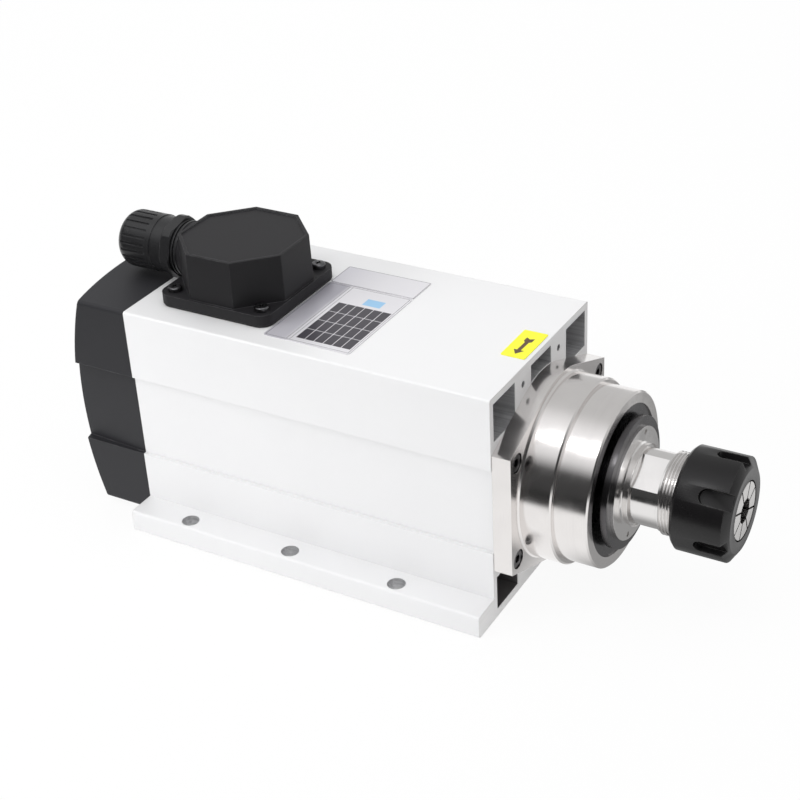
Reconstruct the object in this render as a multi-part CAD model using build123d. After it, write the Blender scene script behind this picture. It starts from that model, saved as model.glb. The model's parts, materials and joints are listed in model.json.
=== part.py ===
from build123d import *
import math
import os

# Square air-cooled motor spindle with an ER32 collet nose.
# Frame: origin at the centre of the six base holes, on the mounting face.
# +X runs along the spindle axis towards the collet, +Z away from the mounting face.
# Every size is in millimetres.

# ---------------------------------------------------------------- fits and clearances
press_gap = 0.02        # radial, between pieces that are pressed or clamped together
running_gap = 0.1       # radial, between a sliding piece and its seat
ball_gap = 0.15         # ball to its groove and its cage pocket
air_gap = 0.4           # radial, rotor to stator
seal_gap = 0.4          # radial, dust ring hub to bearing cap
thread_gap = 0.3        # radial, nut thread over shaft thread
screw_gap = 0.25        # radial, screw shank in its clearance hole
past = 1.0              # how far a cut or a joined form runs past the face it meets

# ---------------------------------------------------------------- body extrusion
body_length = 203.0
stator_bore_radius = 45.0
bore_wall = 4.0             # ring left between the bore and the air ducts
bore_to_side = 7.5
bore_to_base = 15.5
bore_to_top = 15.7
top_wall = 3.6
side_wall = 3.2
bottom_wall = 4.5
edge_radius = 1.2
side_recess_depth = 1.8
side_recess_below = 22.0    # recess edges, from the spindle axis
side_recess_above = 23.5
foot_width = 15.9
foot_thickness = 12.2
foot_edge_radius = 1.5
centre_duct_width = 21.4
rib_width = 16.8
corner_duct_start = 37.5    # height of the corner ducts' inner face from the axis
port_setout = 6.6           # bore to the centre of the screw ports in the ribs
port_radius = 1.65

# ---------------------------------------------------------------- base holes
hole_pitch = 61.0
foot_hole_inset = 9.5       # body side to the base holes
base_hole_radius = 4.5
front_hole_setback = 47.8   # front face of the body to the front pair of holes

# ---------------------------------------------------------------- nose housing
flange_thickness = 9.5
flange_rim = 3.8            # stator bore to the flange's round edge
flange_inset = 0.5          # body side to the flange's flat side
flange_ear = 0.4            # screw sink to the end of the flat side
nose_step_length = 16.2
nose_step = 2.5
nose_wall = 12.0            # bearing seat to the nose's outside
nose_lip = 0.8              # nose front ahead of the bearing cap
nose_root = 0.8             # bright fillet where the nose meets the flange
nose_edge = 0.8
spigot_length = 8.0
flange_screw_wall = 4.9     # stator bore to the screws' shanks
flange_screw_angle = 30.4
flange_screw_depth = 14.0   # thread length in the body

# ---------------------------------------------------------------- front bearings
front_bearing_bore = 35.0
front_bearing_outside = 62.0
front_bearing_width = 14.0
front_ball_radius = 4.0
front_ball_count = 12
front_spacer_length = 4.0
front_bearing_setback = 6.0  # body front to the first bearing
bearing_shoulder = 3.5      # radial height of the shoulder that an outer ring sits on
front_land = 2.2            # ball circle to the rings' shoulders
cage_thickness = 2.0
cage_side_margin = 1.6

# ---------------------------------------------------------------- bearing cap and dust ring
cap_seat = 6.2              # bearing seat to the cap's rim
cap_thickness = 3.8
dust_hub_wall = 4.7
dust_ring_radius = 32.3
dust_ring_thickness = 3.0
dust_ring_standoff = 2.6    # cap face to dust ring

# ---------------------------------------------------------------- shaft
collar_radius = 27.6
collar_thickness = 3.0
collar_hole_count = 4
collar_hole_radius = 1.3
collar_hole_rim = 2.7       # hole centres to the collar's rim
collar_hole_depth = 2.0
collar_hole_turn = 35.0
neck_radius = 22.5
neck_length = 3.4
neck_bevel = 1.0            # conical part of the neck
neck_undercut = 0.6
neck_ring_radius = 19.4
neck_ring_length = 1.6
shaft_radius = 18.25
plain_length = 11.2
flat_size = 32.0            # across the two wrench flats
flat_length = 9.0
thread_radius = 20.0        # M40 x 1.5
thread_length = 26.4
thread_bevel = 1.2
lock_thread_depth = 0.2     # front bearing bore to the lock nut's thread
lock_nut_radius = 25.5
lock_nut_length = 10.0
rotor_seat_radius = 16.0
rotor_shoulder = 1.0
tail_radius = 12.0
fan_seat_radius = 8.0

# ---------------------------------------------------------------- collet and nut
collet_angle = 8.0          # half angle of the seat
collet_front_angle = 30.0
collet_length = 40.0
collet_seat_radius = 16.35  # at the shaft's front face
collet_seat_length = 31.5
collet_head_gap = 1.0       # shaft front face to the collet's head
collet_head_radius = 16.6
collet_head_length = 1.6
collet_groove_radius = 14.2
collet_groove_length = 2.6
collet_face_radius = 13.8
collet_bore_radius = 6.0
collet_slit = 1.0
collet_slit_count = 8
collet_slit_stop = 7.0      # metal left at the closed end of each slit
draw_bore_radius = 7.5
draw_bore_depth = 40.0
nut_wall = 5.0              # thread to the nut's outside
nut_length = 27.6
nut_overhang = 0.1          # nut face ahead of the collet face
nut_rear_chamfer = 1.8
nut_front_cone_length = 6.2
nut_front_cone_depth = 4.6
nut_face_edge = 0.6
nut_cone_gap = 0.2          # nut cone to the collet's front cone
nut_nose_gap = 0.4          # shaft front face to the ring's seat in the nut
nut_slot_count = 6
nut_slot_width = 9.4
nut_slot_depth = 3.4
nut_slot_setback = 8.4      # nut rear face to the slots' round ends
nut_slot_turn = 50.5
ring_thickness = 2.0
ring_step = 1.8             # shaft thread to the extraction ring's rim
ring_groove_gap = 0.4       # extraction ring to the collet's groove

# ---------------------------------------------------------------- rotor and stator
stator_front_gap = 50.0     # body front to the stator
stator_rear_gap = 48.0      # body rear to the stator
stator_inner_radius = 27.5
slot_count = 18
slot_width = 4.4
slot_depth = 11.0
tooth_tip = 2.0
coil_gap = 0.25
end_turn_length = 20.0
end_turn_wall = 10.0
rotor_setback = 3.0         # stator end to rotor end
end_ring_length = 5.0
end_ring_height = 8.0
end_ring_step = 1.0         # rotor rim to the end ring's rim

# ---------------------------------------------------------------- rear bearing housing
rear_plate_thickness = 8.0
rear_plate_inset = 6.0      # body side to the plate's flat side
rear_plate_rim = 1.0        # stator bore to the plate's round edge
rear_plate_ear = 1.1        # screw sink to the end of the flat side
rear_screw_wall = 2.6       # stator bore to the screws' shanks
rear_screw_angle = 36.1
rear_screw_depth = 14.0     # thread length in the body
rear_spigot_length = 8.0
rear_hub_wall = 6.0         # bearing seat to the hub's outside
rear_hub_length = 2.0
rear_lip_thickness = 4.0
rear_lip_height = 7.0
rear_bearing_bore = 20.0
rear_bearing_outside = 42.0
rear_bearing_width = 12.0
rear_ball_radius = 3.2
rear_ball_count = 10
rear_land = 1.8
spring_thickness = 0.6
spring_wave = 0.5
spring_waves = 3
spring_crest = 5.0          # width of each crest of the wave
spring_edge = 0.5           # spring rim inside the ring's rim
spring_width = 4.0

# ---------------------------------------------------------------- fan
fan_tip_inset = 2.0         # stator bore to the blade tips
fan_hub_radius = 15.0
fan_hub_length = 16.0
fan_hub_wall = 3.0
fan_blade_count = 7
fan_blade_thickness = 1.8
fan_blade_chord = 17.0
fan_root_angle = 48.0
fan_tip_angle = 66.0
fan_standoff = 4.0          # rear housing hub to fan
fan_screw_radius = 3.0
fan_screw_length = 14.0
fan_screw_reach = 12.0      # shank in the shaft's end
fan_washer_radius = 9.0
fan_washer_thickness = 1.5
fan_screw_across = 10.0
fan_screw_head = 4.0

# ---------------------------------------------------------------- rear cover
cover_depth = 45.5          # body rear face to the dome's crown
cover_dome_radius = 200.0
cover_bottom = 3.0          # mounting face to the cover's underside
cover_wall = 2.5
cover_rear_recess = 4.6     # side recess depth where the sides meet the dome
cover_edge_radius = 2.0
cover_screw_head_radius = 3.5
cover_screw_head_length = 2.6
cover_screw_sink = 5.0
cover_screw_grip = 10.0     # thread length in the body
cover_tower_wall = 0.65     # screw sink to the tower's outside
grille_rings = 5
grille_start_radius = 13.0
grille_slot = 3.2
grille_bar = 2.8
grille_spokes = 6
grille_spoke_width = 4.0

# ---------------------------------------------------------------- junction box
box_setback = 44.0          # body rear face to the box's centre
box_shift = -6.2            # spindle axis to the box's centre, across
box_size = 62.5             # across the octagon's flats
box_base_ledge = 1.25      # octagon's flats to the base's sides
box_base_height = 6.6
box_wall = 2.6
box_top_wall = 2.6
box_head_room = 0.35        # gland thread to the ceiling
box_draft = 1.2
box_corner_radius = 7.0
box_ear_inset = 6.7         # base side to the screws' centres
gasket_thickness = 1.0
gasket_width = 5.0
gasket_inset = 0.6
lead_hole_radius = 9.0
lead_hole_shift = 14.0      # box centre to the lead hole in the body's top wall
terminal_length = 34.0
terminal_width = 15.0
terminal_height = 11.0
terminal_poles = 4
terminal_barrier = 1.6
terminal_barrier_height = 4.0
terminal_shift = 12.0       # box centre to the block, towards the front
terminal_floor = 2.0        # block's underside to its blind screw holes
terminal_screw_radius = 1.45
terminal_head_radius = 2.4
terminal_head_length = 1.9
terminal_slot_width = 0.7
terminal_slot_depth = 0.6
terminal_washer_inset = 2.0
terminal_washer_width = 5.4
terminal_washer_thickness = 1.0
terminal_screw_reach = 3.0

# ---------------------------------------------------------------- cable gland
gland_clearance = 0.5       # body top to the hexagon's lowest corner
gland_entry_radius = 11.2   # PG16 thread
gland_entry_reach = 6.0     # thread inside the box
gland_bore_radius = 8.0
gland_boss_wall = 2.8
gland_boss_stand = 0.1      # box base's side to the boss's face
gland_nut_length = 3.7
gland_nut_flange = 1.3      # each of the ring nut's two flanges
gland_nut_radius = 14.3
gland_nut_groove = 0.9
gland_hex_across = 29.5
gland_hex_corner = 1.4      # corners left outside the flats' circle
gland_hex_bevel = 0.9
gland_hex_length = 6.0
gland_hex_turn = 12.6
gland_neck_radius = 12.2
gland_neck_length = 14.0
gland_cap_radius = 14.85
gland_cap_length = 29.0
gland_cap_round = 6.4
gland_cap_mouth = 7.6
gland_collar_length = 7.0
gland_collar_step = 0.4
gland_rib_count = 24
gland_rib_width = 1.3
gland_rib_depth = 0.7
gland_rib_margin = 3.2      # ribs' ends to the collar
gland_seal_radius = 11.4
gland_seal_length = 13.0
gland_seal_room = 5.0       # empty depth of the cap behind the seal
cable_radius = 6.5

# ---------------------------------------------------------------- plates
plate_thickness = 0.3
rating_plate_length = 48.0
rating_plate_width = 61.0
rating_plate_gap = 0.4      # box base's side to the plates
rating_plate_shift = -12.2
rating_plate_radius = 1.5
info_plate_width = 18.6
info_plate_radius = 1.0
plate_gap = 0.6
arrow_label_length = 12.4
arrow_label_width = 26.0
arrow_label_setback = 8.4   # body front to the label's centre
arrow_label_radius = 0.8

# ---------------------------------------------------------------- screws
small_screw_radius = 2.0    # M4 pan head
small_head_radius = 3.6
small_head_length = 2.4
small_head_round = 1.0
small_cross_width = 0.9
small_cross_depth = 1.2
cap_screw_radius = 2.5      # M5 socket head
cap_head_radius = 4.25
cap_head_length = 5.0
cap_sink_radius = 4.9
cap_sink_depth = 5.6
cap_screw_tail_gap = 2.0    # screw end to the bottom of its thread
cap_socket_across = 4.0
cap_socket_depth = 2.6

# ================================================================ places
body_width = 2 * (stator_bore_radius + bore_to_side)
axis_height = stator_bore_radius + bore_to_base
body_height = axis_height + stator_bore_radius + bore_to_top
foot_span = body_width + 2 * foot_width
hole_span = body_width + 2 * foot_hole_inset
front = hole_pitch + front_hole_setback
rear = front - body_length
cover_crown = rear - cover_depth
cover_tower_radius = cover_screw_head_radius + screw_gap + cover_tower_wall

nose_bearing_start = front + front_bearing_setback
second_bearing_start = nose_bearing_start + front_bearing_width + front_spacer_length
nose_bearing_end = second_bearing_start + front_bearing_width
cap_face = nose_bearing_end + cap_thickness
cap_radius = front_bearing_outside / 2 + cap_seat
dust_hub_radius = front_bearing_bore / 2 + dust_hub_wall
dust_face = cap_face + dust_ring_standoff
collar_start = dust_face + dust_ring_thickness
neck_start = collar_start + collar_thickness
neck_ring_start = neck_start + neck_length
plain_start = neck_ring_start + neck_ring_length
thread_start = plain_start + plain_length
shaft_nose = thread_start + thread_length
collet_rear = shaft_nose - collet_seat_length
collet_face = collet_rear + collet_length
collet_head_start = shaft_nose + collet_head_gap
collet_groove_start = collet_head_start + collet_head_length
collet_groove_end = collet_groove_start + collet_groove_length
nut_face = collet_face + nut_overhang
nut_rear = nut_face - nut_length
nut_radius = thread_radius + nut_wall
ring_start = collet_groove_start + (collet_groove_length - ring_thickness) / 2
ring_end = ring_start + ring_thickness
ring_outer_radius = thread_radius - ring_step
ring_inner_radius = collet_groove_radius + ring_groove_gap

stator_front = front - stator_front_gap
stator_rear = rear + stator_rear_gap
rotor_rear = stator_rear + rotor_setback
rotor_front = stator_front - rotor_setback
rotor_radius = stator_inner_radius - air_gap
rear_plate_end = rear - rear_plate_thickness
rear_hub_end = rear_plate_end - rear_hub_length
rear_spring_end = rear_hub_end + rear_lip_thickness
rear_bearing_start = rear_spring_end + spring_thickness + 2 * spring_wave
rear_bearing_end = rear_bearing_start + rear_bearing_width
fan_radius = stator_bore_radius - fan_tip_inset
fan_front = rear_hub_end - fan_standoff
fan_rear = fan_front - fan_hub_length
lock_nut_start = nose_bearing_start - lock_nut_length

box_x = rear + box_setback
box_y = box_shift
box_rear = box_x - box_size / 2
box_base_size = box_size + 2 * box_base_ledge
gland_z = body_height + gland_clearance + gland_hex_across / 2 + gland_hex_corner
box_top = gland_z + gland_entry_radius + box_head_room + box_top_wall
gasket_top = body_height + gasket_thickness
box_seat = body_height + box_base_height
terminal_seat = body_height + terminal_height - terminal_barrier_height
boss_face = box_x - box_base_size / 2 - gland_boss_stand
gland_nut_end = boss_face - gland_nut_length
gland_hex_end = gland_nut_end - gland_hex_length
gland_neck_end = gland_hex_end - gland_neck_length
gland_cap_end = gland_hex_end - gland_cap_length
gland_seal_end = gland_hex_end - gland_seal_length

plates_x = box_x + (box_base_size + rating_plate_length) / 2 + rating_plate_gap

spindle_axis = Axis((0, 0, axis_height), (1, 0, 0))


# ================================================================ helpers
def on_x(x):
    """A YZ plane at x, with its local origin on the spindle axis."""
    return Plane.YZ.offset(x) * Pos(0, axis_height)


def rod(radius, x0, x1, y=0.0, z=0.0):
    """A cylinder along X, placed from the spindle axis."""
    return extrude(on_x(x0) * Pos(y, z) * Circle(radius), amount=x1 - x0)


def tube(outer, inner, x0, x1):
    """A ring along X about the spindle axis."""
    return rod(outer, x0, x1) - rod(inner, x0 - past, x1 + past)


def post(radius, x, y, z0, z1):
    """An upright cylinder."""
    return extrude(Plane.XY.offset(z0) * Pos(x, y) * Circle(radius), amount=z1 - z0)


def block(x0, x1, y0, y1, z0, z1):
    """A box from its limits in the part's frame."""
    return Pos((x0 + x1) / 2, (y0 + y1) / 2, (z0 + z1) / 2) * Box(x1 - x0, y1 - y0, z1 - z0)


def turned(points):
    """A solid of revolution about the spindle axis from (x, radius) points."""
    outline = make_face(Polyline(*points, close=True))
    return revolve(Plane.XZ * Pos(0, axis_height) * outline, axis=spindle_axis)


def around(shape, count, start=0.0):
    """Copies of a shape turned evenly about the spindle axis."""
    return [shape.rotate(spindle_axis, start + 360.0 * n / count) for n in range(count)]


def corners(y, z):
    """The four (y, z) corners of a rectangle centred on the origin."""
    return [(a * y, b * z) for a in (-1, 1) for b in (-1, 1)]


def cut_all(body, tools):
    """A body with each tool cut away."""
    for tool in tools:
        body = body - tool
    return body


def socket_screw(x_head, direction, length):
    """An M5 socket head screw: its head's face is at x_head and its shank runs along direction."""
    head = rod(cap_head_radius, *sorted((x_head, x_head + direction * cap_head_length)))
    shank_end = x_head + direction * (cap_head_length + length)
    shank = rod(cap_screw_radius, *sorted((x_head + direction * past, shank_end)))
    hexagon = RegularPolygon(cap_socket_across / 2, 6, major_radius=False)
    socket = extrude(on_x(x_head) * hexagon, amount=direction * cap_socket_depth)
    return head + shank - socket


# ================================================================ motor body
flange_screw_circle = stator_bore_radius + flange_screw_wall + cap_screw_radius
flange_screw_y = flange_screw_circle * math.cos(math.radians(flange_screw_angle))
flange_screw_z = flange_screw_circle * math.sin(math.radians(flange_screw_angle))
rear_screw_circle = stator_bore_radius + rear_screw_wall + cap_screw_radius
rear_screw_y = rear_screw_circle * math.cos(math.radians(rear_screw_angle))
rear_screw_z = rear_screw_circle * math.sin(math.radians(rear_screw_angle))
flange_screw_places = corners(flange_screw_y, flange_screw_z)
rear_screw_places = corners(rear_screw_y, rear_screw_z)
port_places = corners((centre_duct_width + rib_width) / 2, stator_bore_radius + port_setout)


def box_screw_places():
    """Centres of the four ear screws, seen from above."""
    offset = box_base_size / 2 - box_ear_inset
    return [(box_x + a, box_y + b) for a, b in corners(offset, offset)]


def body_profile():
    """The extrusion's outer outline with its side recess and feet."""
    half = body_width / 2
    inner = half - side_recess_depth
    foot = foot_span / 2
    recess_low = axis_height - side_recess_below
    recess_high = axis_height + side_recess_above
    side = [
        (foot, 0),
        (foot, foot_thickness),
        (half, foot_thickness),
        (half, recess_low),
        (inner, recess_low),
        (inner, recess_high),
        (half, recess_high),
        (half, body_height),
    ]
    mirrored = [(-y, z) for y, z in reversed(side)]
    outline = make_face(Polyline(*side, *mirrored, close=True))
    feet = outline.vertices().filter_by(lambda v: abs(v.X) > (half + foot) / 2)
    outline = fillet(feet, foot_edge_radius)
    top = outline.vertices().group_by(Axis.Y)[-1]
    return fillet(top, edge_radius)


def duct_profiles():
    """Centre and corner air ducts, between the stator ring and the walls."""
    ring = Pos(0, axis_height) * Circle(stator_bore_radius + bore_wall)
    roof = body_height - top_wall
    ducts = Pos(0, (roof + bottom_wall) / 2) * Rectangle(centre_duct_width, roof - bottom_wall)
    rib_outer = centre_duct_width / 2 + rib_width
    width = body_width / 2 - side_wall - rib_outer
    upper = roof - axis_height - corner_duct_start
    lower = axis_height - bottom_wall - corner_duct_start
    for side in (-1, 1):
        y = side * (rib_outer + width / 2)
        ducts += Pos(y, roof - upper / 2) * Rectangle(width, upper)
        ducts += Pos(y, bottom_wall + lower / 2) * Rectangle(width, lower)
    return ducts - ring


def motor_body():
    profile = body_profile() - duct_profiles()
    profile -= Pos(0, axis_height) * Circle(stator_bore_radius)
    for y, z in port_places:
        profile -= Pos(y, axis_height + z) * Circle(port_radius)
    body = extrude(Plane.YZ.offset(rear) * profile, amount=body_length)
    for n in (-1, 0, 1):
        for side in (-1, 1):
            body -= post(base_hole_radius, n * hole_pitch, side * hole_span / 2, -past, foot_thickness + past)
    for y, z in flange_screw_places:
        body -= rod(cap_screw_radius + press_gap, front - flange_screw_depth, front + past, y, z)
    for y, z in rear_screw_places:
        body -= rod(cap_screw_radius + press_gap, rear - past, rear + rear_screw_depth, y, z)
    body -= post(lead_hole_radius, box_x - lead_hole_shift, box_y, axis_height, body_height + past)
    for x, y in box_screw_places():
        body -= post(small_screw_radius + press_gap, x, y, body_height - top_wall - past, body_height + past)
    return body


# ================================================================ nose
def flange_outline(radius, half_width, half_side):
    """A disc blended into two flat sides by tangent edges."""
    return make_hull(Circle(radius).edges() + Rectangle(2 * half_width, 2 * half_side).edges())


def front_housing():
    nose_start = front + flange_thickness
    step_end = nose_start + nose_step_length
    nose_end = cap_face + nose_lip
    nose_radius = front_bearing_outside / 2 + nose_wall
    step_radius = nose_radius + nose_step
    spigot_radius = stator_bore_radius - press_gap
    shoulder_radius = front_bearing_outside / 2 - bearing_shoulder
    half_width = body_width / 2 - flange_inset
    half_side = flange_screw_z + cap_sink_radius + flange_ear
    outline = flange_outline(stator_bore_radius + flange_rim, half_width, half_side)
    housing = extrude(on_x(front) * outline, amount=flange_thickness)
    housing += turned([
        (front - spigot_length, shoulder_radius),
        (front - spigot_length, spigot_radius),
        (nose_start - past, spigot_radius),
        (nose_start - past, step_radius + nose_root),
        (nose_start, step_radius + nose_root),
        (nose_start + nose_root, step_radius),
        (step_end - nose_edge, step_radius),
        (step_end, step_radius - nose_edge),
        (step_end, nose_radius),
        (nose_end - nose_edge, nose_radius),
        (nose_end, nose_radius - nose_edge),
        (nose_end, shoulder_radius),
    ])
    housing -= rod(shoulder_radius, front - spigot_length - past, nose_end + past)
    housing -= rod(front_bearing_outside / 2 + press_gap, nose_bearing_start, nose_end + past)
    housing -= rod(cap_radius + press_gap, nose_bearing_end, nose_end + past)
    for y, z in flange_screw_places:
        housing -= rod(cap_screw_radius + screw_gap, front - past, nose_start + past, y, z)
        housing -= rod(cap_sink_radius, nose_start - cap_sink_depth, nose_start + past, y, z)
    return housing


def flange_screws(seat, direction, thickness, depth, places):
    """Socket screws whose heads sit in the sinks of a flange of that thickness."""
    head_face = seat + direction * (thickness - cap_sink_depth + cap_head_length)
    length = thickness - cap_sink_depth + depth - cap_screw_tail_gap
    screw = socket_screw(head_face, -direction, length)
    return [Pos(0, y, z) * screw for y, z in places]


def front_bearing_cap():
    """The ring that holds the bearings in the nose."""
    return tube(cap_radius, dust_hub_radius + seal_gap, nose_bearing_end, cap_face)


# ================================================================ bearings
def bearing(x0, bore, outside, width, ball, count, land):
    """Outer ring, inner ring, cage and balls of one ball bearing that starts at x0."""
    middle = x0 + width / 2
    pitch = (bore + outside) / 4
    groove = revolve(Plane.XZ * Pos(middle, axis_height + pitch) * Circle(ball + ball_gap), axis=spindle_axis)
    outer = tube(outside / 2, pitch + land, x0, x0 + width) - groove
    inner = tube(pitch - land, bore / 2 + press_gap, x0, x0 + width) - groove
    pocket_height = axis_height + pitch
    pocket = post(ball + ball_gap, middle, 0, pocket_height - cage_thickness, pocket_height + cage_thickness)
    cage_radii = (pitch + cage_thickness / 2, pitch - cage_thickness / 2)
    cage = tube(*cage_radii, x0 + cage_side_margin, x0 + width - cage_side_margin)
    cage = cut_all(cage, around(pocket, count))
    balls = around(Pos(middle, 0, axis_height + pitch) * Sphere(ball), count)
    return outer, inner, cage, balls


def front_bearings():
    """The pair in the nose, as lists of outer rings, inner rings, cages and balls."""
    sizes = (front_bearing_bore, front_bearing_outside, front_bearing_width)
    rolling = (front_ball_radius, front_ball_count, front_land)
    pair = [bearing(x, *sizes, *rolling) for x in (nose_bearing_start, second_bearing_start)]
    outer, inner, cages, balls = zip(*pair)
    return outer, inner, cages, balls[0] + balls[1]


def rear_bearing():
    """The single bearing that slides against its spring."""
    sizes = (rear_bearing_bore, rear_bearing_outside, rear_bearing_width)
    return bearing(rear_bearing_start, *sizes, rear_ball_radius, rear_ball_count, rear_land)


def front_outer_spacer():
    outer = front_bearing_outside / 2
    start = nose_bearing_start + front_bearing_width
    return tube(outer, outer - bearing_shoulder, start, second_bearing_start)


def front_inner_spacer():
    inner = front_bearing_bore / 2
    start = nose_bearing_start + front_bearing_width
    return tube(inner + bearing_shoulder, inner + press_gap, start, second_bearing_start)


def bearing_lock_nut():
    inner = front_bearing_bore / 2 - lock_thread_depth + press_gap
    return tube(lock_nut_radius, inner, lock_nut_start, nose_bearing_start)


# ================================================================ shaft assembly
def seat_radius(x, offset=0.0):
    """Radius of the collet seat at x, enlarged by an offset."""
    return collet_seat_radius + offset + (x - shaft_nose) * math.tan(math.radians(collet_angle))


def front_cone_radius(x, offset=0.0):
    """Radius of the collet's blunt front cone at x, enlarged by an offset."""
    return collet_face_radius + offset + (collet_face - x) * math.tan(math.radians(collet_front_angle))


def spindle_shaft():
    lock_thread_radius = front_bearing_bore / 2 - lock_thread_depth
    shaft = turned([
        (fan_rear, 0),
        (fan_rear, fan_seat_radius - press_gap),
        (fan_front, fan_seat_radius - press_gap),
        (fan_front, rear_bearing_bore / 2),
        (rear_bearing_end, rear_bearing_bore / 2),
        (rear_bearing_end, tail_radius),
        (rotor_rear - end_ring_length, tail_radius),
        (rotor_rear - end_ring_length, rotor_seat_radius),
        (rotor_front + end_ring_length, rotor_seat_radius),
        (rotor_front + end_ring_length, rotor_seat_radius + rotor_shoulder),
        (lock_nut_start, rotor_seat_radius + rotor_shoulder),
        (lock_nut_start, lock_thread_radius),
        (nose_bearing_start, lock_thread_radius),
        (nose_bearing_start, front_bearing_bore / 2),
        (collar_start, front_bearing_bore / 2),
        (collar_start, collar_radius),
        (neck_start, collar_radius),
        (neck_start, neck_radius),
        (neck_start + neck_bevel, neck_radius - neck_bevel),
        (neck_ring_start, neck_ring_radius - neck_undercut),
        (neck_ring_start, neck_ring_radius),
        (plain_start, neck_ring_radius),
        (plain_start, shaft_radius),
        (thread_start, shaft_radius),
        (thread_start, thread_radius - thread_bevel),
        (thread_start + thread_bevel, thread_radius),
        (shaft_nose - thread_bevel, thread_radius),
        (shaft_nose, thread_radius - thread_bevel),
        (shaft_nose, 0),
    ])
    seat_end = collet_rear - past
    shaft -= turned([
        (seat_end, 0),
        (seat_end, seat_radius(seat_end, running_gap)),
        (shaft_nose + past, seat_radius(shaft_nose + past, running_gap)),
        (shaft_nose + past, 0),
    ])
    shaft -= rod(draw_bore_radius, seat_end - draw_bore_depth, seat_end + past)
    flat_start = plain_start + (plain_length - flat_length) / 2
    reach = 2 * thread_radius
    heights = (axis_height + flat_size / 2, axis_height + reach)
    flat = block(flat_start, flat_start + flat_length, -reach, reach, *heights)
    shaft = cut_all(shaft, around(flat, 2))
    hole_circle = collar_radius - collar_hole_rim
    hole = rod(collar_hole_radius, neck_start - collar_hole_depth, neck_start + past, 0, hole_circle)
    shaft = cut_all(shaft, around(hole, collar_hole_count, collar_hole_turn))
    return shaft - rod(fan_screw_radius + press_gap, fan_rear - past, fan_rear + fan_screw_length)


def dust_ring():
    """A disc on a hub that turns close inside the bearing cap."""
    inner = front_bearing_bore / 2 + press_gap
    hub = tube(dust_hub_radius, inner, nose_bearing_end, dust_face)
    return hub + tube(dust_ring_radius, inner, dust_face, collar_start)


def collet():
    """A spring collet with a steep rear cone, a groove and a blunt front cone, slit from both ends."""
    piece = turned([
        (collet_rear, collet_bore_radius),
        (collet_rear, seat_radius(collet_rear)),
        (collet_head_start, seat_radius(collet_head_start)),
        (collet_head_start, collet_head_radius),
        (collet_groove_start, collet_head_radius),
        (collet_groove_start, collet_groove_radius),
        (collet_groove_end, collet_groove_radius),
        (collet_groove_end, front_cone_radius(collet_groove_end)),
        (collet_face, collet_face_radius),
        (collet_face, collet_bore_radius),
    ])
    reach = axis_height + 2 * collet_head_radius
    half = collet_slit / 2
    front_slit = block(collet_rear + collet_slit_stop, collet_face + past, -half, half, axis_height, reach)
    rear_slit = block(collet_rear - past, collet_face - collet_slit_stop, -half, half, axis_height, reach)
    piece = cut_all(piece, around(front_slit, collet_slit_count))
    return cut_all(piece, around(rear_slit, collet_slit_count, 180.0 / collet_slit_count))


def collet_nut():
    """A round nut with a conical front, six wrench slots and a groove for its extraction ring."""
    cone_start = nut_face - nut_front_cone_length
    face_radius = nut_radius - nut_front_cone_depth
    nut = turned([
        (nut_rear, thread_radius + thread_gap),
        (nut_rear, nut_radius - nut_rear_chamfer),
        (nut_rear + nut_rear_chamfer, nut_radius),
        (cone_start, nut_radius),
        (nut_face - nut_face_edge, face_radius),
        (nut_face, face_radius - nut_face_edge),
        (nut_face, front_cone_radius(nut_face, nut_cone_gap)),
        (ring_end, front_cone_radius(ring_end, nut_cone_gap)),
        (ring_end, ring_outer_radius + press_gap),
        (shaft_nose + nut_nose_gap, ring_outer_radius + press_gap),
        (shaft_nose + nut_nose_gap, thread_radius + thread_gap),
    ])
    slot_radius = nut_slot_width / 2
    slot_x = nut_rear + nut_slot_setback + slot_radius
    floor = axis_height + nut_radius - nut_slot_depth
    top = axis_height + nut_radius + past
    cutter = block(slot_x, nut_face + past, -slot_radius, slot_radius, floor, top)
    cutter += post(slot_radius, slot_x, 0, floor, top)
    return cut_all(nut, around(cutter, nut_slot_count, nut_slot_turn))


def extraction_ring():
    """The ring that snaps into the nut and pulls on the collet's groove."""
    return tube(ring_outer_radius, ring_inner_radius, ring_start, ring_end)


# ================================================================ rotor and stator
def rotor_core():
    return tube(rotor_radius, rotor_seat_radius + press_gap, rotor_rear, rotor_front)


def rotor_end_rings():
    """The two cast rings that join the rotor's bars."""
    outer = rotor_radius - end_ring_step
    starts = (rotor_rear - end_ring_length, rotor_front)
    return [tube(outer, outer - end_ring_height, x, x + end_ring_length) for x in starts]


def stator_core():
    core = tube(stator_bore_radius - press_gap, stator_inner_radius, stator_rear, stator_front)
    floor = axis_height + stator_inner_radius + tooth_tip
    half = slot_width / 2
    slot = block(stator_rear - past, stator_front + past, -half, half, floor, floor + slot_depth)
    return cut_all(core, around(slot, slot_count))


def stator_windings():
    """End turns at both ends, joined by a bar through each slot."""
    inner = stator_inner_radius + tooth_tip + coil_gap
    outer = stator_inner_radius + tooth_tip + slot_depth - coil_gap
    half = slot_width / 2 - coil_gap
    ends = (stator_rear - past, stator_front + past)
    bar = block(*ends, -half, half, axis_height + inner, axis_height + outer)
    turn_inner = outer - end_turn_wall
    coil = tube(outer, turn_inner, stator_front + coil_gap, stator_front + end_turn_length)
    coil += tube(outer, turn_inner, stator_rear - end_turn_length, stator_rear - coil_gap)
    for piece in around(bar, slot_count):
        coil += piece
    return coil


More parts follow.
